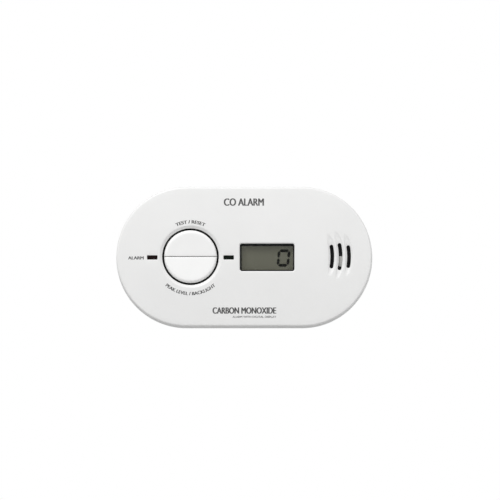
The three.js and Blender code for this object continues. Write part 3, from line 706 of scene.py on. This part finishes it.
def locating_lip():
    """The ledge that stands up inside the front cover's edge."""
    side, thick = WALL + GAP, 1.2
    top = REAR_TOP + 2.2
    section = [
        (WALL - 0.4, REAR_TOP - 3.6),
        (side + thick, REAR_TOP - 3.6),
        (side + thick, top),
        (side + 0.3, top),
        (side, top - 0.4),
        (side, REAR_TOP - 1.5),
        (WALL - 0.4, REAR_TOP - 1.5),
    ]
    return loft("lip", [at(z, pill(inset)) for inset, z in section], ring=True)


def keyhole_outline(x):
    """outline(inset) of a wall screw's keyhole, with its wide part at the bottom."""

    def outline(inset):
        wide, narrow = KEYHOLE_HEAD - inset, KEYHOLE_SHANK - inset
        meet = math.asin(narrow / wide)
        top = arc(x, KEYHOLE_Y + KEYHOLE_RISE, narrow, 0, TURN / 2, 24)
        bottom = arc(x, KEYHOLE_Y, wide, TURN / 4 + meet, TURN * 1.25 - meet, 60)
        return top + bottom

    return outline


def round_outline(x, y, r):
    return lambda inset: circle(x, y, r - inset, 48)


def finger_scoop(y):
    """A shallow hollow under the door's latch, for a fingertip."""
    lifts = [-0.9 + 1.0 * i / 4 for i in range(4)] + [0.1 + 1.35 * i / 8 for i in range(9)]
    loops = []
    for lift in lifts:
        ring = circle(0, 0, math.cos(lift), 48)
        loops.append([(8 * u, y + 3.4 * v, 2.4 * math.sin(lift)) for u, v in ring])
    return loft("scoop", loops)


def rear_cover():
    shell = rear_shell()
    solids = [locating_lip()]
    wells, inner_cuts = [], []
    for screw in CASE_SCREWS:
        solids.append(cylinder("boss", screw.x, screw.y, 4.4, 0.4, REAR_TOP))
        wells.append(mouth(round_outline(screw.x, screw.y, 3.4), 8))
        wells.append(cylinder("hole", screw.x, screw.y, 1.65, 7, REAR_TOP + 1))
    keyholes = []
    for x in (-KEYHOLE_X, KEYHOLE_X):
        middle = KEYHOLE_Y + 3.2
        cup = box_outline(*about(x, middle, 6.2, 10), 5.6)
        pocket = box_outline(*about(x, middle, 5, 8.8), 4.6)
        solids.append(slab("cup", cup, 1, WALL + 7.2, 0.5))
        inner_cuts.append(slab("pocket", pocket, WALL, WALL + 6, 0.3))
        keyholes.append(mouth(keyhole_outline(x), WALL + 1))

    outer_x, outer_y = BAY_HALF_X + BAY_WALL, BAY_HALF_Y + BAY_WALL
    solids.append(block("well", -outer_x, outer_x, -outer_y, outer_y, 0.2, BAY_TOP + BAY_WALL, 1.4))
    solids.append(slab("frame", box_outline(-35.5, 35.5, -31.9, 30.1, 4), 0.4, 4.8))
    space = box_outline(-BAY_HALF_X, BAY_HALF_X, -BAY_HALF_Y, BAY_HALF_Y, 0.9)
    wells.append(slab("space", space, -1, BAY_TOP, 0.4))

    side, low, high = DOOR_HALF_X + 0.4, DOOR_LOW - 0.4, HINGE_Y + 1.75
    wells.append(mouth(box_outline(-side, side, low, high, 0.8), 2.5))
    wells.append(axle("knuckle_room", -side, side, HINGE_Y, HINGE_Z, 1.6))
    wells.append(axle("pin_hole", -PIN_REACH - GAP, PIN_REACH + GAP, HINGE_Y, HINGE_Z, 1.25))
    wells.append(block("hook_room", -5.4, 5.4, low, low + 2.4, 0, 3.6))
    wells.append(finger_scoop(low - 0.2))
    for x0, x1, y in ((-32, -28, CELL_PITCH), (28, 32, -CELL_PITCH)):
        wells.append(block("tab_slot", x0, x1, y - 2, y + 2, 13.9, 15.6))
    ribs = [
        block("rib", *about(0, between_cells, 23, 0.55), 13.4, BAY_TOP + 0.5)
        for between_cells in (-CELL_PITCH / 2, CELL_PITCH / 2)
    ]
    boolean(shell, solids, "UNION")
    boolean(shell, wells, "DIFFERENCE")
    boolean(shell, ribs, "UNION")
    boolean(shell, inner_cuts + keyholes, "DIFFERENCE")
    make(shell, "case_plastic", "case", "rear_cover")


# ---------------- battery door


def battery_door():
    """The door as it lies shut: plate, hinge knuckles and pins, sprung latch and stiffeners."""
    top = DOOR_Z + DOOR_THICKNESS
    outline = box_outline(-DOOR_HALF_X, DOOR_HALF_X, DOOR_LOW, HINGE_Y - 0.8, 1.6)
    plate = slab("battery_door_moulding", outline, DOOR_Z, top, 0.4)
    solids = []
    for side in (-1, 1):
        inner, outer = sorted((side * KNUCKLE_X, side * DOOR_HALF_X))
        solids.append(axle("knuckle", inner, outer, HINGE_Y, HINGE_Z, KNUCKLE_R))
        solids.append(block("web", inner, outer, HINGE_Y - 2, HINGE_Y, DOOR_Z, top))
        pin = sorted((side * (DOOR_HALF_X - 2), side * PIN_REACH))
        solids.append(axle("pin", *pin, HINGE_Y, HINGE_Z, PIN_R))
    solids.append(block("hook", -5, 5, DOOR_LOW, DOOR_LOW + 1.6, top - 0.5, top + 1.1, 0.3, 0.3))
    for rise in (2.2, 3.8, 5.4):
        y = DOOR_LOW + rise
        solids.append(block("ridge", -4.5, 4.5, y, y + 0.7, DOOR_Z - 0.25, DOOR_Z + 0.5, 0.34, 0.2))
    for y in (-CELL_PITCH / 2, CELL_PITCH / 2):
        solids.append(block("stiffener", *about(0, y, 20, 0.5), DOOR_Z + 1, top + 2))
    boolean(plate, solids, "UNION")
    slits = [
        block("slit", x - 0.5, x + 0.5, DOOR_LOW - 2, DOOR_LOW + 9, -4, 7, 0.45)
        for x in (-LATCH_HALF, LATCH_HALF)
    ]
    boolean(plate, slits, "DIFFERENCE")
    make(plate, "case_plastic", "battery_door", "battery_door")


def rating_label():
    """A blank foil label with a small drawing of how the three cells lie."""
    span = Span("rating_label")
    sheet = slab("rating_label_foil", outline_of(span, 1.5), span.z0, span.z1, 0.04, 2)
    make(sheet, "label", "battery_door", "rating_label")
    ink = (span.z0 - 0.03, span.z0 + 0.02)
    drawing = []
    for row, positive in ((1, -1), (0, 1), (-1, -1)):
        y = span.y + row * 5.2
        drawing += frame_lines(span.x - 8, span.x + 8, y - 1.8, y + 1.8, 0.25, ink)
        for name, reach, half_w, half_h in (
            ("nub", 8.45, 0.45, 0.7),
            ("plus", 6, 0.8, 0.13),
            ("plus", 6, 0.13, 0.8),
            ("minus", -6, 0.8, 0.13),
        ):
            box = about(span.x + positive * reach, y, half_w, half_h)
            drawing.append(block(name, *box, *ink, 0.05, 0.005))
    picture = drawing[0]
    boolean(picture, drawing[1:], "UNION")
    picture.name = "rating_label_drawing"
    make(picture, "printing", "battery_door")


def frame_lines(x0, x1, y0, y1, line, z):
    """The four lines of a printed rectangle."""
    boxes = [
        (x0, x1, y0, y0 + line),
        (x0, x1, y1 - line, y1),
        (x0, x0 + line, y0, y1),
        (x1 - line, x1, y0, y1),
    ]
    return [block("line", *box, *z, 0.05, 0.005) for box in boxes]


# ---------------- display and lights


def display():
    """The black holder with its mask, the liquid crystal glass with its digit, and the window. The
    mask's black borders are partly real and partly painted shadow, made wider at the top and left.
    """
    holder = outline_of(HOLDER, 1.5)
    body = slab("display_holder_moulding", holder, HOLDER.z0, HOLDER.z1 + 0.22, 0.15)
    room = box_outline(HOLDER.x0 + 2, HOLDER.x1 - 2, HOLDER.y0 + 2, HOLDER.y1 - 2, 0.8)
    left, right = GLASS.x - DISPLAY_W / 2, GLASS.x + DISPLAY_W / 2
    low, high = GLASS.y - DISPLAY_H / 2, GLASS.y + DISPLAY_H / 2
    # The mask's opening is off-centre. This leaves wider black borders at the top and left, as painted
    # shadow from the upper and left edges of the opening.
    view = box_outline(left + 1, right - 0.75, low + 0.8, high - 1.3, 0.5)
    cuts = [slab("room", room, HOLDER.z0 - 1, GLASS.z1 + 0.02, 0.1)]
    cuts.append(slab("view", view, GLASS.z1 - 1, GLASS.z1 + 2, 0.1))
    boolean(body, cuts, "DIFFERENCE")
    make(body, "black_plastic", "case", "display_holder")

    glass = slab("display_glass_cell", outline_of(GLASS, 0.4), GLASS.z0, GLASS.z1, 0.12)
    make(glass, "display_glass", "case", "display_glass")
    digit()

    window = Span("display_window")
    pane = box_outline(left + 0.2, right - 0.2, low + 0.2, high - 0.2, 1.0)
    front = slab("display_window_pane", pane, 35, window.z1, 0.25)
    flange = slab("flange", outline_of(window, 1.2), window.z0, CEILING, 0.15)
    boolean(front, [flange], "UNION")
    make(front, "window_plastic", "case", "display_window")


def digit():
    """A slanted seven-segment nought, as thin dark shapes on the glass."""
    x, y = GLASS.x + 9.4, GLASS.y - 0.3
    half_w, half_h, stroke, slant = 2.85, 4.15, 1.6, 0.1
    z = (GLASS.z1 + 0.005, GLASS.z1 + 0.03)
    trim = 0.12 * stroke  # half the gap between neighbouring segments

    def segment(ax, ay, bx, by):
        along = Vector((bx - ax, by - ay)).normalized()
        across = Vector((-along.y, along.x)) * (stroke / 2)
        start = Vector((ax, ay)) + along * trim
        end = Vector((bx, by)) - along * trim
        tip = along * (stroke / 2)
        flat = [
            start,
            start + tip - across,
            end - tip - across,
            end,
            end - tip + across,
            start + tip + across,
        ]
        return [(x + p.x + slant * p.y, y + p.y) for p in flat]

    corners = [(-half_w, half_h), (half_w, half_h), (half_w, 0), (half_w, -half_h)]
    corners += [(-half_w, -half_h), (-half_w, 0), (-half_w, half_h)]
    parts = []
    for (ax, ay), (bx, by) in zip(corners, corners[1:]):
        outline = segment(ax, ay, bx, by)
        parts.append(loft("display_digit", [at(height, outline) for height in z]))
    boolean(parts[0], parts[1:], "UNION")
    make(parts[0], "display_glass", "case", finish=dark_segments())


def light_lens(node, slot_name, span):
    """A bar of smoked plastic that fills its window, on a wider foot."""
    clearance = 0.15
    sizes = (LIGHT_W / 2 - clearance, LIGHT_H / 2 - clearance)
    outline = box_outline(*about(span.x, span.y, *sizes), 0.3)
    bar = slab(f"{node}_moulding", outline, 34.6, span.z1, 0.22)
    boolean(bar, [slab("foot", outline_of(span, 0.6), span.z0, 35, 0.15)], "UNION")
    make(bar, slot_name, "case", node)


# ---------------- printed words

LETTER_CAP = 0.682  # height of the font's capitals at size 1
INK = 0.03


def flat_letters(name, words, shift):
    """Flat letters of a little thickness, moved sideways, as a closed mesh object."""
    curve = bpy.data.curves.new(name, "FONT")
    curve.body = words
    curve.extrude = 0.5
    text = bpy.data.objects.new(name, curve)
    bpy.context.scene.collection.objects.link(text)
    graph = bpy.context.evaluated_depsgraph_get()
    mesh = bpy.data.meshes.new_from_object(text.evaluated_get(graph))
    bpy.data.objects.remove(text)
    solid = Solid()
    points = [v.co + Vector((shift, 0, 0)) for v in mesh.vertices]
    solid.add(points, [face.vertices for face in mesh.polygons])
    return mesh_object(name, solid)


def lettering(name, words, cap, width, place, weight):
    """Grey words printed on the face, made bold by copies moved sideways by weight.

    place(u, v) puts a point of the flat words on the alarm.
    """
    letters = flat_letters(name, words, 0)
    copies = [flat_letters("bold", words, shift) for shift in (-weight, weight)]
    boolean(letters, copies, "UNION")
    across = [v.co.x for v in letters.data.vertices]
    middle = (min(across) + max(across)) / 2
    stretch = width / (max(across) - min(across))
    for vertex in letters.data.vertices:
        x, y = place((vertex.co.x - middle) * stretch, vertex.co.y / LETTER_CAP * cap)
        vertex.co = (x, y, face_z(x, y) + (INK if vertex.co.z > 0 else -0.01))
    make(letters, "printing", "case")


def straight(x, y):
    """place() for words on a level line, centred on x with their feet at y."""
    return lambda u, v: (x + u, y + v)


def over_button(r):
    """place() for words round the button's top, with their feet towards it."""

    def place(u, v):
        angle = TURN / 4 - u / r
        return KEY_X + (r + v) * math.cos(angle), (r + v) * math.sin(angle)

    return place


def under_button(r):
    """place() for words round the button's bottom, with their heads towards it."""

    def place(u, v):
        angle = -TURN / 4 + u / r
        return KEY_X + (r - v) * math.cos(angle), (r - v) * math.sin(angle)

    return place


def printing():
    lettering("printed_test", "TEST / RESET", 1.85, 16.6, over_button(19), 0.045)
    lettering("printed_level", "PEAK LEVEL / BACKLIGHT", 1.85, 31.5, under_button(22.1), 0.045)
    lettering("printed_alarm", "ALARM", 1.75, 9, straight(-62, -1.6), 0.045)
    lettering("printed_kind", "CO ALARM", 4.1, 23, straight(-0.2, 29.2), 0.045)
    lettering("printed_name", "CARBON MONOXIDE", 3.5, 36.5, straight(0.1, -32.6), 0.055)
    lettering("printed_line", "ALARM WITH DIGITAL DISPLAY", 1.1, 25, straight(5.8, -35), 0.02)


# ---------------- screws


def screw(node, head_r, head_h, shank_r):
    """A cross-head screw with its head at the bottom and a ridged, pointed shank."""
    span = Span(node)
    seat = span.z0 + head_h
    pitch, depth = 1.1, 0.18
    head = [(0.02, 0), (head_r * 0.62, 0.02), (head_r * 0.9, head_h * 0.3), (head_r, head_h * 0.62)]
    profile = [(r, span.z0 + rise) for r, rise in head] + [(head_r, seat), (shank_r, seat)]
    top = span.z1 - shank_r * 1.1
    root = shank_r - depth
    for i in range(int((top - seat - 0.8) / pitch)):
        z = seat + 0.6 + i * pitch
        profile += [(root, z), (root, z + pitch * 0.55), (shank_r, z + pitch * 0.8)]
    profile += [(root, top), (0.02, span.z1)]
    bar = turned(f"{node}_turned", (span.x, span.y, 0), profile, 40, edge=0.12)
    reach, wing = head_r * 0.58, head_r * 0.12
    recess = []
    for a, b in ((reach, wing), (wing, reach)):
        box = about(span.x, span.y, a, b)
        recess.append(block("recess", *box, span.z0 - 1, span.z0 + head_h * 0.6))
    boolean(bar, recess, "DIFFERENCE")
    make(bar, "steel", "case", node)


def screws():
    small = (2, 1.3, 0.95)
    for kind, places, sizes in (
        ("case", CASE_SCREWS, (2.8, 2, 1.3)),
        ("board", BOARD_SCREWS, small),
        ("carrier", CARRIER_SCREWS, small),
    ):
        for i in range(len(places)):
            screw(f"{kind}_screw_{i + 1}", *sizes)


# ---------------- cells and contacts

CELL_R, CELL_BODY, NUB_R, NUB = 7.15, 49.5, 2.75, 1
SLEEVE = 0.12  # thickness of a cell's sleeve


def cell(index, span):
    """A cell: metal can with its raised positive end, in a dark sleeve with a bright band."""
    facing = 1 if index == 1 else -1  # which way its positive end points
    start = span.x0 if facing > 0 else span.x1
    end, can_r = CELL_BODY, CELL_R - SLEEVE
    centre = (0, span.y, span.z)

    def part(name, profile, edge, bore_r=None):
        """A turned part of the cell, from its negative end, bored right through if asked."""
        points = [(r, start + facing * reach) for r, reach in profile]
        bar = turned(name, centre, points, 64, "x", edge)
        if bore_r:
            bore = [(bore_r, start - facing), (bore_r, start + facing * (end + 1))]
            boolean(bar, [turned("bore", centre, bore, 64, "x")], "DIFFERENCE")
        return bar

    can = [(0.02, 0), (5.6, 0), (5.9, 0.25), (can_r - 0.5, 0.25), (can_r, 0.7)]
    can += [(can_r, end - 0.6), (can_r - 0.5, end - 0.15), (5.2, end - 0.15), (4.6, end - 0.5)]
    can += [(NUB_R + 0.4, end - 0.5), (NUB_R, end), (NUB_R, end + NUB), (0.02, end + NUB)]
    make(part(f"battery_{index + 1}_can", can, 0.2), "steel", "case")
    fold = [(can_r - 0.9, 0.12), (CELL_R - 0.4, 0.02), (CELL_R, 0.5)]
    fold += [(CELL_R, end - 0.5), (CELL_R - 0.4, end - 0.02), (can_r - 0.9, end - 0.12)]
    skin = part(f"battery_{index + 1}_sleeve", fold, 0.3, can_r - 0.7)
    make(skin, "cell_jacket", "case", f"battery_{index + 1}")
    low, high = CELL_R - 0.05, CELL_R + 0.03
    band = [(low, end - 12), (high, end - 11.9), (high, end - 3.1), (low, end - 3)]
    make(part(f"battery_{index + 1}_band", band, 0.01, CELL_R - 0.04), "brass", "case")


def contact_spring(index):
    """A cone-shaped compression spring with a closed coil at each end."""
    span = Span(f"contact_spring_{index + 1}")
    at_left = span.x < 0
    base_r, tip_r, wire_r, turns, steps = 3.3, 2.0, 0.36, 4.5, 160
    length = span.w - 2 * wire_r
    points = []
    for i in range(steps + 1):
        t = i / steps
        climb = min(max((t * turns - 0.7) / (turns - 1.4), 0), 1)
        r = base_r + (tip_r - base_r) * climb
        x = wire_r + length * climb
        x = span.x0 + x if at_left else span.x1 - x
        angle = TURN * turns * t
        points.append(Vector((x, span.y + r * math.cos(angle), span.z + r * math.sin(angle))))
    coil = wire(f"contact_spring_{index + 1}_wire", points, wire_r)
    make(coil, "steel", "case", f"contact_spring_{index + 1}")


def contact_plate(node, side, bump_rows, tab_y=None):
    """A sprung steel plate at the bay's end wall, dimpled where a positive end meets it."""
    span = Span(node)
    t, height = 0.5, 10
    inner = BAY_HALF_X - 0.1 - t
    low, high = CELLS[0].z - height / 2, CELLS[0].z + height / 2
    x0, x1 = sorted((side * inner, side * (inner + t)))
    solids = [block(f"{node}_pressing", x0, x1, span.y0, span.y1, low, high, 0.2, 0.15)]
    for row in bump_rows:
        y = CELLS[row].y
        tip, foot = side * (inner - 0.6), side * (inner + 0.2)
        profile = [(0.02, tip), (1.7, tip), (2.6, foot), (0.02, foot)]
        solids.append(turned("dimple", (0, y, CELLS[0].z), profile, 40, "x", 0.4))
    if tab_y is not None:
        x0, x1 = sorted((side * (inner + 0.1), side * 33.4))
        solids.append(block("tab", x0, x1, tab_y - 1.5, tab_y + 1.5, 14.4, 14.9, 0.2, 0.1))
    boolean(solids[0], solids[1:], "UNION")
    make(solids[0], "steel", "case", node)


def cells():
    for index, span in enumerate(CELLS):
        cell(index, span)
        contact_spring(index)
    contact_plate("contact_positive", -1, [0], CELL_PITCH)
    contact_plate("contact_link_right", 1, [1])
    contact_plate("contact_link_left", -1, [2])
    contact_plate("contact_negative", 1, [], -CELL_PITCH)


# ---------------- sounder and sensor


def sounder():
    """The horn behind the grille, its cap open under a round of insect screen."""
    cap, screen = Span("horn_cap"), Span("port_screen")
    r = cap.w / 2
    lid = [(0.02, cap.z0), (r, cap.z0), (r, cap.z0 + 1)]
    lid += [(5.4, cap.z0 + 1.1), (4.2, cap.z1), (0.02, cap.z1)]
    centre = (cap.x, cap.y, 0)
    horn = turned("horn_cap_moulding", centre, lid, 72, edge=0.25)
    bores = [turned("throat", centre, [(2.2, 32), (2.2, 36)], 48)]
    bores.append(turned("seat", centre, [(3.2, screen.z0 - 0.1), (3.2, 36)], 48))
    boolean(horn, bores, "DIFFERENCE")
    make(horn, "black_plastic", "case", "horn_cap")
    low, high = screen.z0, screen.z1
    edge = [(0.02, low), (2.95, low), (2.95, high - 0.1), (1.6, high), (0.02, high)]
    disc = turned("port_screen_disc", (screen.x, screen.y, 0), edge, 48, edge=0.1)
    make(disc, "screen_fabric", "case", "port_screen")


def sensor():
    cap, can = Span("sensor_cap"), Span("gas_sensor")
    r = cap.w / 2
    lid = [(0.02, cap.z0), (r, cap.z0), (r, cap.z1 - 0.6), (r - 0.8, cap.z1), (0.02, cap.z1)]
    moulding = turned("sensor_cap_moulding", (cap.x, cap.y, 0), lid, 64, edge=0.2)
    holes = [cylinder("hole", cap.x, cap.y, 1.4, 30, 36)]
    for i in range(6):
        x, y = cap.x + 4.4 * math.cos(TURN * i / 6), cap.y + 4.4 * math.sin(TURN * i / 6)
        holes.append(cylinder("hole", x, y, 0.7, cap.z1 - 0.6, 36, 24))
    boolean(moulding, holes, "DIFFERENCE")
    make(moulding, "black_plastic", "case", "sensor_cap")
    wide = can.w / 2
    body = [(0.02, can.z0), (wide, can.z0), (wide, can.z0 + 0.8), (wide - 0.6, can.z0 + 1.1)]
    body += [(wide - 0.6, can.z1), (0.02, can.z1)]
    make(turned("gas_sensor_can", (can.x, can.y, 0), body, 64, edge=0.3), "steel", "case", "gas_sensor")


# ---------------- finishes


def shader_node(tree, kind, **inputs):
    """A new shader node with its inputs set to values or linked to other nodes' outputs."""
    node = tree.nodes.new(f"ShaderNode{kind}")
    for name, value in inputs.items():
        socket = node.inputs[name.replace("_", " ")]
        if isinstance(value, bpy.types.NodeSocket):
            tree.links.new(value, socket)
        else:
            socket.default_value = value
    return node


class Finish:
    """A procedural material on the Principled shader, with short calls for its textures."""

    def __init__(self, name, **values):
        self.material = bpy.data.materials.new(name)
        self.material.use_nodes = True
        self.tree = self.material.node_tree
        self.shader = self.tree.nodes["Principled BSDF"]
        for socket, value in values.items():
            self.shader.inputs[socket.replace("_", " ")].default_value = value
        self.place = self.node("TexCoord").outputs["Object"]

    def node(self, kind, **inputs):
        return shader_node(self.tree, kind, **inputs)

    def drive(self, socket, output):
        self.tree.links.new(output, self.shader.inputs[socket])
        return self

    def stretched(self, scale):
        """Object coordinates multiplied by scale along x, y and z."""
        return self.node("Mapping", Scale=scale, Vector=self.place).outputs["Vector"]

    def noise(self, scale, detail=2.0, vector=None):
        texture = self.node("TexNoise", Scale=scale, Detail=detail, Vector=vector or self.place)
        return texture.outputs["Fac"]

    def waves(self, axis, scale):
        texture = self.node("TexWave", Scale=scale, Vector=self.place)
        texture.bands_direction = axis
        return texture.outputs["Fac"]

    def color(self, factor, dark, light, low=0.3, high=0.7):
        ramp = self.node("ValToRGB", Fac=factor)
        first, last = ramp.color_ramp.elements
        first.position, last.position = low, high
        first.color, last.color = (*dark, 1), (*light, 1)
        return self.drive("Base Color", ramp.outputs["Color"])

    def roughness(self, factor, low, high):
        spread = self.node("MapRange", Value=factor, From_Min=0.3, From_Max=0.7, To_Min=low, To_Max=high)
        return self.drive("Roughness", spread.outputs["Result"])

    def bump(self, factor, strength, height):
        node = self.node("Bump", Height=factor, Strength=strength, Distance=height)
        return self.drive("Normal", node.outputs["Normal"])


def shade(color, factor):
    return tuple(c * factor for c in color)


def moulded_plastic(name, color, rough, grain=0.25, **values):
    """Moulded plastic with a fine spark-eroded grain and slight unevenness in shade."""
    finish = Finish(name, IOR=1.5, **values)
    flow = finish.noise(35, 3)
    finish.color(flow, shade(color, 0.975), color)
    finish.roughness(flow, rough - 0.04, rough + 0.05)
    return finish.bump(finish.noise(3200), grain, 0.00005).material


def polished_plastic(name, color, rough, **values):
    """Clear or dark polished plastic, with faint flow marks."""
    finish = Finish(name, **values)
    flow = finish.noise(60, 2)
    finish.color(flow, shade(color, 0.9), color)
    return finish.roughness(flow, rough, rough + 0.06).material


def smoked_plastic(name, color):
    return polished_plastic(name, color, 0.3, Specular_IOR_Level=0.08)


def plated_metal(name, color, rough, along):
    """Plated metal, drawn or brushed along one axis."""
    finish = Finish(name, Metallic=1.0)
    streaks = finish.noise(400, 4, finish.stretched(along))
    finish.color(streaks, shade(color, 0.82), color)
    finish.roughness(streaks, rough, rough + 0.15)
    return finish.bump(streaks, 0.15, 0.00003).material


def rubber(name, color, stripes=None):
    finish = Finish(name)
    grain = finish.waves("X", stripes) if stripes else finish.noise(900, 3)
    finish.color(grain, shade(color, 0.6), color)
    finish.roughness(finish.noise(300), 0.5, 0.7)
    return finish.bump(finish.noise(2500), 0.3, 0.00004).material


def display_glass():
    """The grey-green of an unlit reflective display, a little cloudy."""
    finish = Finish("display_glass", IOR=1.52, Specular_IOR_Level=0.3)
    finish.color(finish.noise(45, 3), (0.118, 0.119, 0.088), (0.138, 0.138, 0.104))
    return finish.roughness(finish.noise(500), 0.34, 0.42).material


def circuit_board():
    """Green solder mask over faintly raised copper tracks."""
    finish = Finish("circuit_board")
    flat = finish.node("Mapping", Rotation=(TURN / 4, 0, 0), Vector=finish.place).outputs["Vector"]
    bricks = finish.node("TexBrick", Scale=160, Mortar_Size=0.045, Vector=flat)
    tracks = bricks.outputs["Fac"]
    finish.color(tracks, (0.003, 0.015, 0.007), (0.008, 0.035, 0.015), 0.2, 0.8)
    finish.roughness(finish.noise(200), 0.25, 0.4)
    return finish.bump(tracks, 0.4, 0.00005).material


def copper_winding():
    """Enamelled wire wound round the coil's axis."""
    finish = Finish("copper_winding", Metallic=0.6)
    rounds = finish.waves("Y", 1100)
    finish.color(rounds, (0.16, 0.05, 0.015), (0.5, 0.2, 0.07))
    finish.roughness(finish.noise(300), 0.3, 0.45)
    return finish.bump(rounds, 0.8, 0.0001).material


def insect_screen():
    """A fine square weave."""
    finish = Finish("insect_screen")
    higher = finish.node("Math")
    higher.operation = "MAXIMUM"
    for socket, axis in zip(higher.inputs, "XZ"):
        finish.tree.links.new(finish.waves(axis, 560), socket)
    weave = higher.outputs["Value"]
    finish.color(weave, (0.12, 0.12, 0.115), (0.62, 0.62, 0.6))
    finish.roughness(finish.noise(800), 0.6, 0.8)
    return finish.bump(weave, 0.8, 0.00015).material


def cell_jacket():
    """The shrunk sleeve of a cell: near black, faintly mottled."""
    finish = Finish("cell_jacket", IOR=1.5)
    finish.color(finish.noise(250, 4), (0.012, 0.013, 0.016), (0.03, 0.032, 0.037))
    finish.roughness(finish.noise(90), 0.22, 0.34)
    return finish.bump(finish.noise(180, 3), 0.2, 0.00006).material


def foil_label():
    finish = Finish("foil_label", Metallic=0.35)
    brushed = finish.noise(300, 4, finish.stretched((1, 1, 14)))
    finish.color(brushed, (0.5, 0.51, 0.52), (0.63, 0.64, 0.65))
    return finish.roughness(brushed, 0.36, 0.5).material


def printing_ink():
    finish = Finish("printing_ink")
    finish.color(finish.noise(2200, 3), (0.06, 0.06, 0.06), (0.09, 0.09, 0.09))
    return finish.roughness(finish.noise(900), 0.5, 0.62).material


def dark_segments():
    """The switched-on segments of the display."""
    finish = Finish("dark_segments", Specular_IOR_Level=0.04)
    finish.color(finish.noise(700, 2), (0.002, 0.002, 0.002), (0.005, 0.005, 0.004))
    return finish.roughness(finish.noise(300), 0.35, 0.45).material


FINISHES = {
    "case_plastic": moulded_plastic("case_white", (0.80, 0.80, 0.795), 0.42),
    "key_plastic": moulded_plastic("key_white", (0.88, 0.88, 0.875), 0.34, 0.12),
    "black_plastic": moulded_plastic(
        "moulded_black", (0.006, 0.006, 0.007), 0.5, Specular_IOR_Level=0.15
    ),
    "elastomer": rubber("striped_elastomer", (0.05, 0.05, 0.05), 600),
    "window_plastic": polished_plastic("clear_window", (0.08, 0.085, 0.08), 0.05, Alpha=0.04),
    "display_glass": display_glass(),
    "light_guide": polished_plastic("milky_light_guide", (0.7, 0.75, 0.66), 0.2),
    "alarm_lens": smoked_plastic("smoked_red_lens", (0.008, 0.003, 0.003)),
    "power_lens": smoked_plastic("smoked_green_lens", (0.003, 0.006, 0.004)),
    "board": circuit_board(),
    "steel": plated_metal("nickel_plate", (0.68, 0.67, 0.65), 0.22, (1, 6, 1)),
    "brass": plated_metal("brass", (0.78, 0.52, 0.22), 0.25, (1, 4, 4)),
    "winding": copper_winding(),
    "cell_jacket": cell_jacket(),
    "screen_fabric": insect_screen(),
    "red_insulation": rubber("red_insulation", (0.5, 0.02, 0.015)),
    "black_insulation": rubber("black_insulation", (0.02, 0.02, 0.02)),
    "label": foil_label(),
    "printing": printing_ink(),
}


def refinish_cad_nodes():
    """Gives every node that no finer piece replaces its finish."""
    for row in frame["record"]["subparts"]:
        frame["nodes"][row["node"]].material_slots[0].material = FINISHES[row["material_slot"]]


# ---------------- the alarm

refinish_cad_nodes()
front_cover()
key_half("test_key", "test_key", 1)
key_half("level_key", "level_key", -1)
rear_cover()
battery_door()
rating_label()
display()
light_lens("alarm_light_lens", "alarm_lens", LIGHTS[0])
light_lens("power_light_lens", "power_lens", LIGHTS[1])
printing()
screws()
cells()
sounder()
sensor()

# ---------------- studio


def floor():
    """A pale round floor, as far below the alarm as it would be in a room."""
    bpy.ops.mesh.primitive_circle_add(vertices=96, radius=15, fill_type="NGON", location=(0, 0, -1.4))
    disc = bpy.context.object
    disc.name = "floor"
    paper = Finish("floor_paper")
    paper.color(paper.noise(3, 2), (0.68, 0.68, 0.68), (0.7, 0.7, 0.7))
    paper.roughness(paper.noise(40), 0.75, 0.85)
    disc.data.materials.append(paper.material)


def softbox(name, place, size, power):
    """An area light that faces the alarm."""
    data = bpy.data.lights.new(name, "AREA")
    data.shape = "RECTANGLE"
    data.size, data.size_y = size
    data.energy = power
    light = bpy.data.objects.new(name, data)
    light.location = place
    light.rotation_euler = (-Vector(place)).to_track_quat("-Z", "Y").to_euler()
    bpy.context.scene.collection.objects.link(light)


def sky():
    """White round the horizon, dimmer overhead."""
    world = bpy.data.worlds.new("studio")
    bpy.context.scene.world = world
    world.use_nodes = True
    tree = world.node_tree
    place = shader_node(tree, "TexCoord").outputs["Generated"]
    up = shader_node(tree, "SeparateXYZ", Vector=place).outputs["Z"]
    limits = {"From_Min": 0.12, "From_Max": 0.5, "To_Min": 1.0, "To_Max": 0.5}
    fade = shader_node(tree, "MapRange", Value=up, **limits)
    fade.interpolation_type = "SMOOTHSTEP"
    background = tree.nodes["Background"]
    tree.links.new(fade.outputs["Result"], background.inputs["Strength"])
    background.inputs["Color"].default_value = (1, 1, 1, 1)


def camera():
    """A long lens, straight on and a touch from below, aimed a little up and to the right."""
    distance = 3.5
    elevation = math.radians(-2)
    aim = Vector((0.0033, 0, 0.0051))
    frame_width = 0.28715  # what the picture spans at the alarm, in metres
    alarm_middle = 0.025  # how far the alarm's middle is in front of the aim
    data = bpy.data.cameras.new("camera")
    data.sensor_width = 36
    data.lens = data.sensor_width * (distance - alarm_middle) / frame_width
    data.clip_end = 40
    eye = bpy.data.objects.new("camera", data)
    back = Vector((0, -math.cos(elevation), math.sin(elevation)))
    eye.location = aim + back * distance
    eye.rotation_euler = (-back).to_track_quat("-Z", "Y").to_euler()
    bpy.context.scene.collection.objects.link(eye)
    bpy.context.scene.camera = eye


floor()
sky()
softbox("key_light", (-0.8, -1.5, 2.0), (0.9, 0.9), 43)
softbox("fill_light", (1.2, -1.4, 0.6), (0.8, 0.8), 3)
camera()
bpy.context.scene.view_settings.view_transform = "Standard"
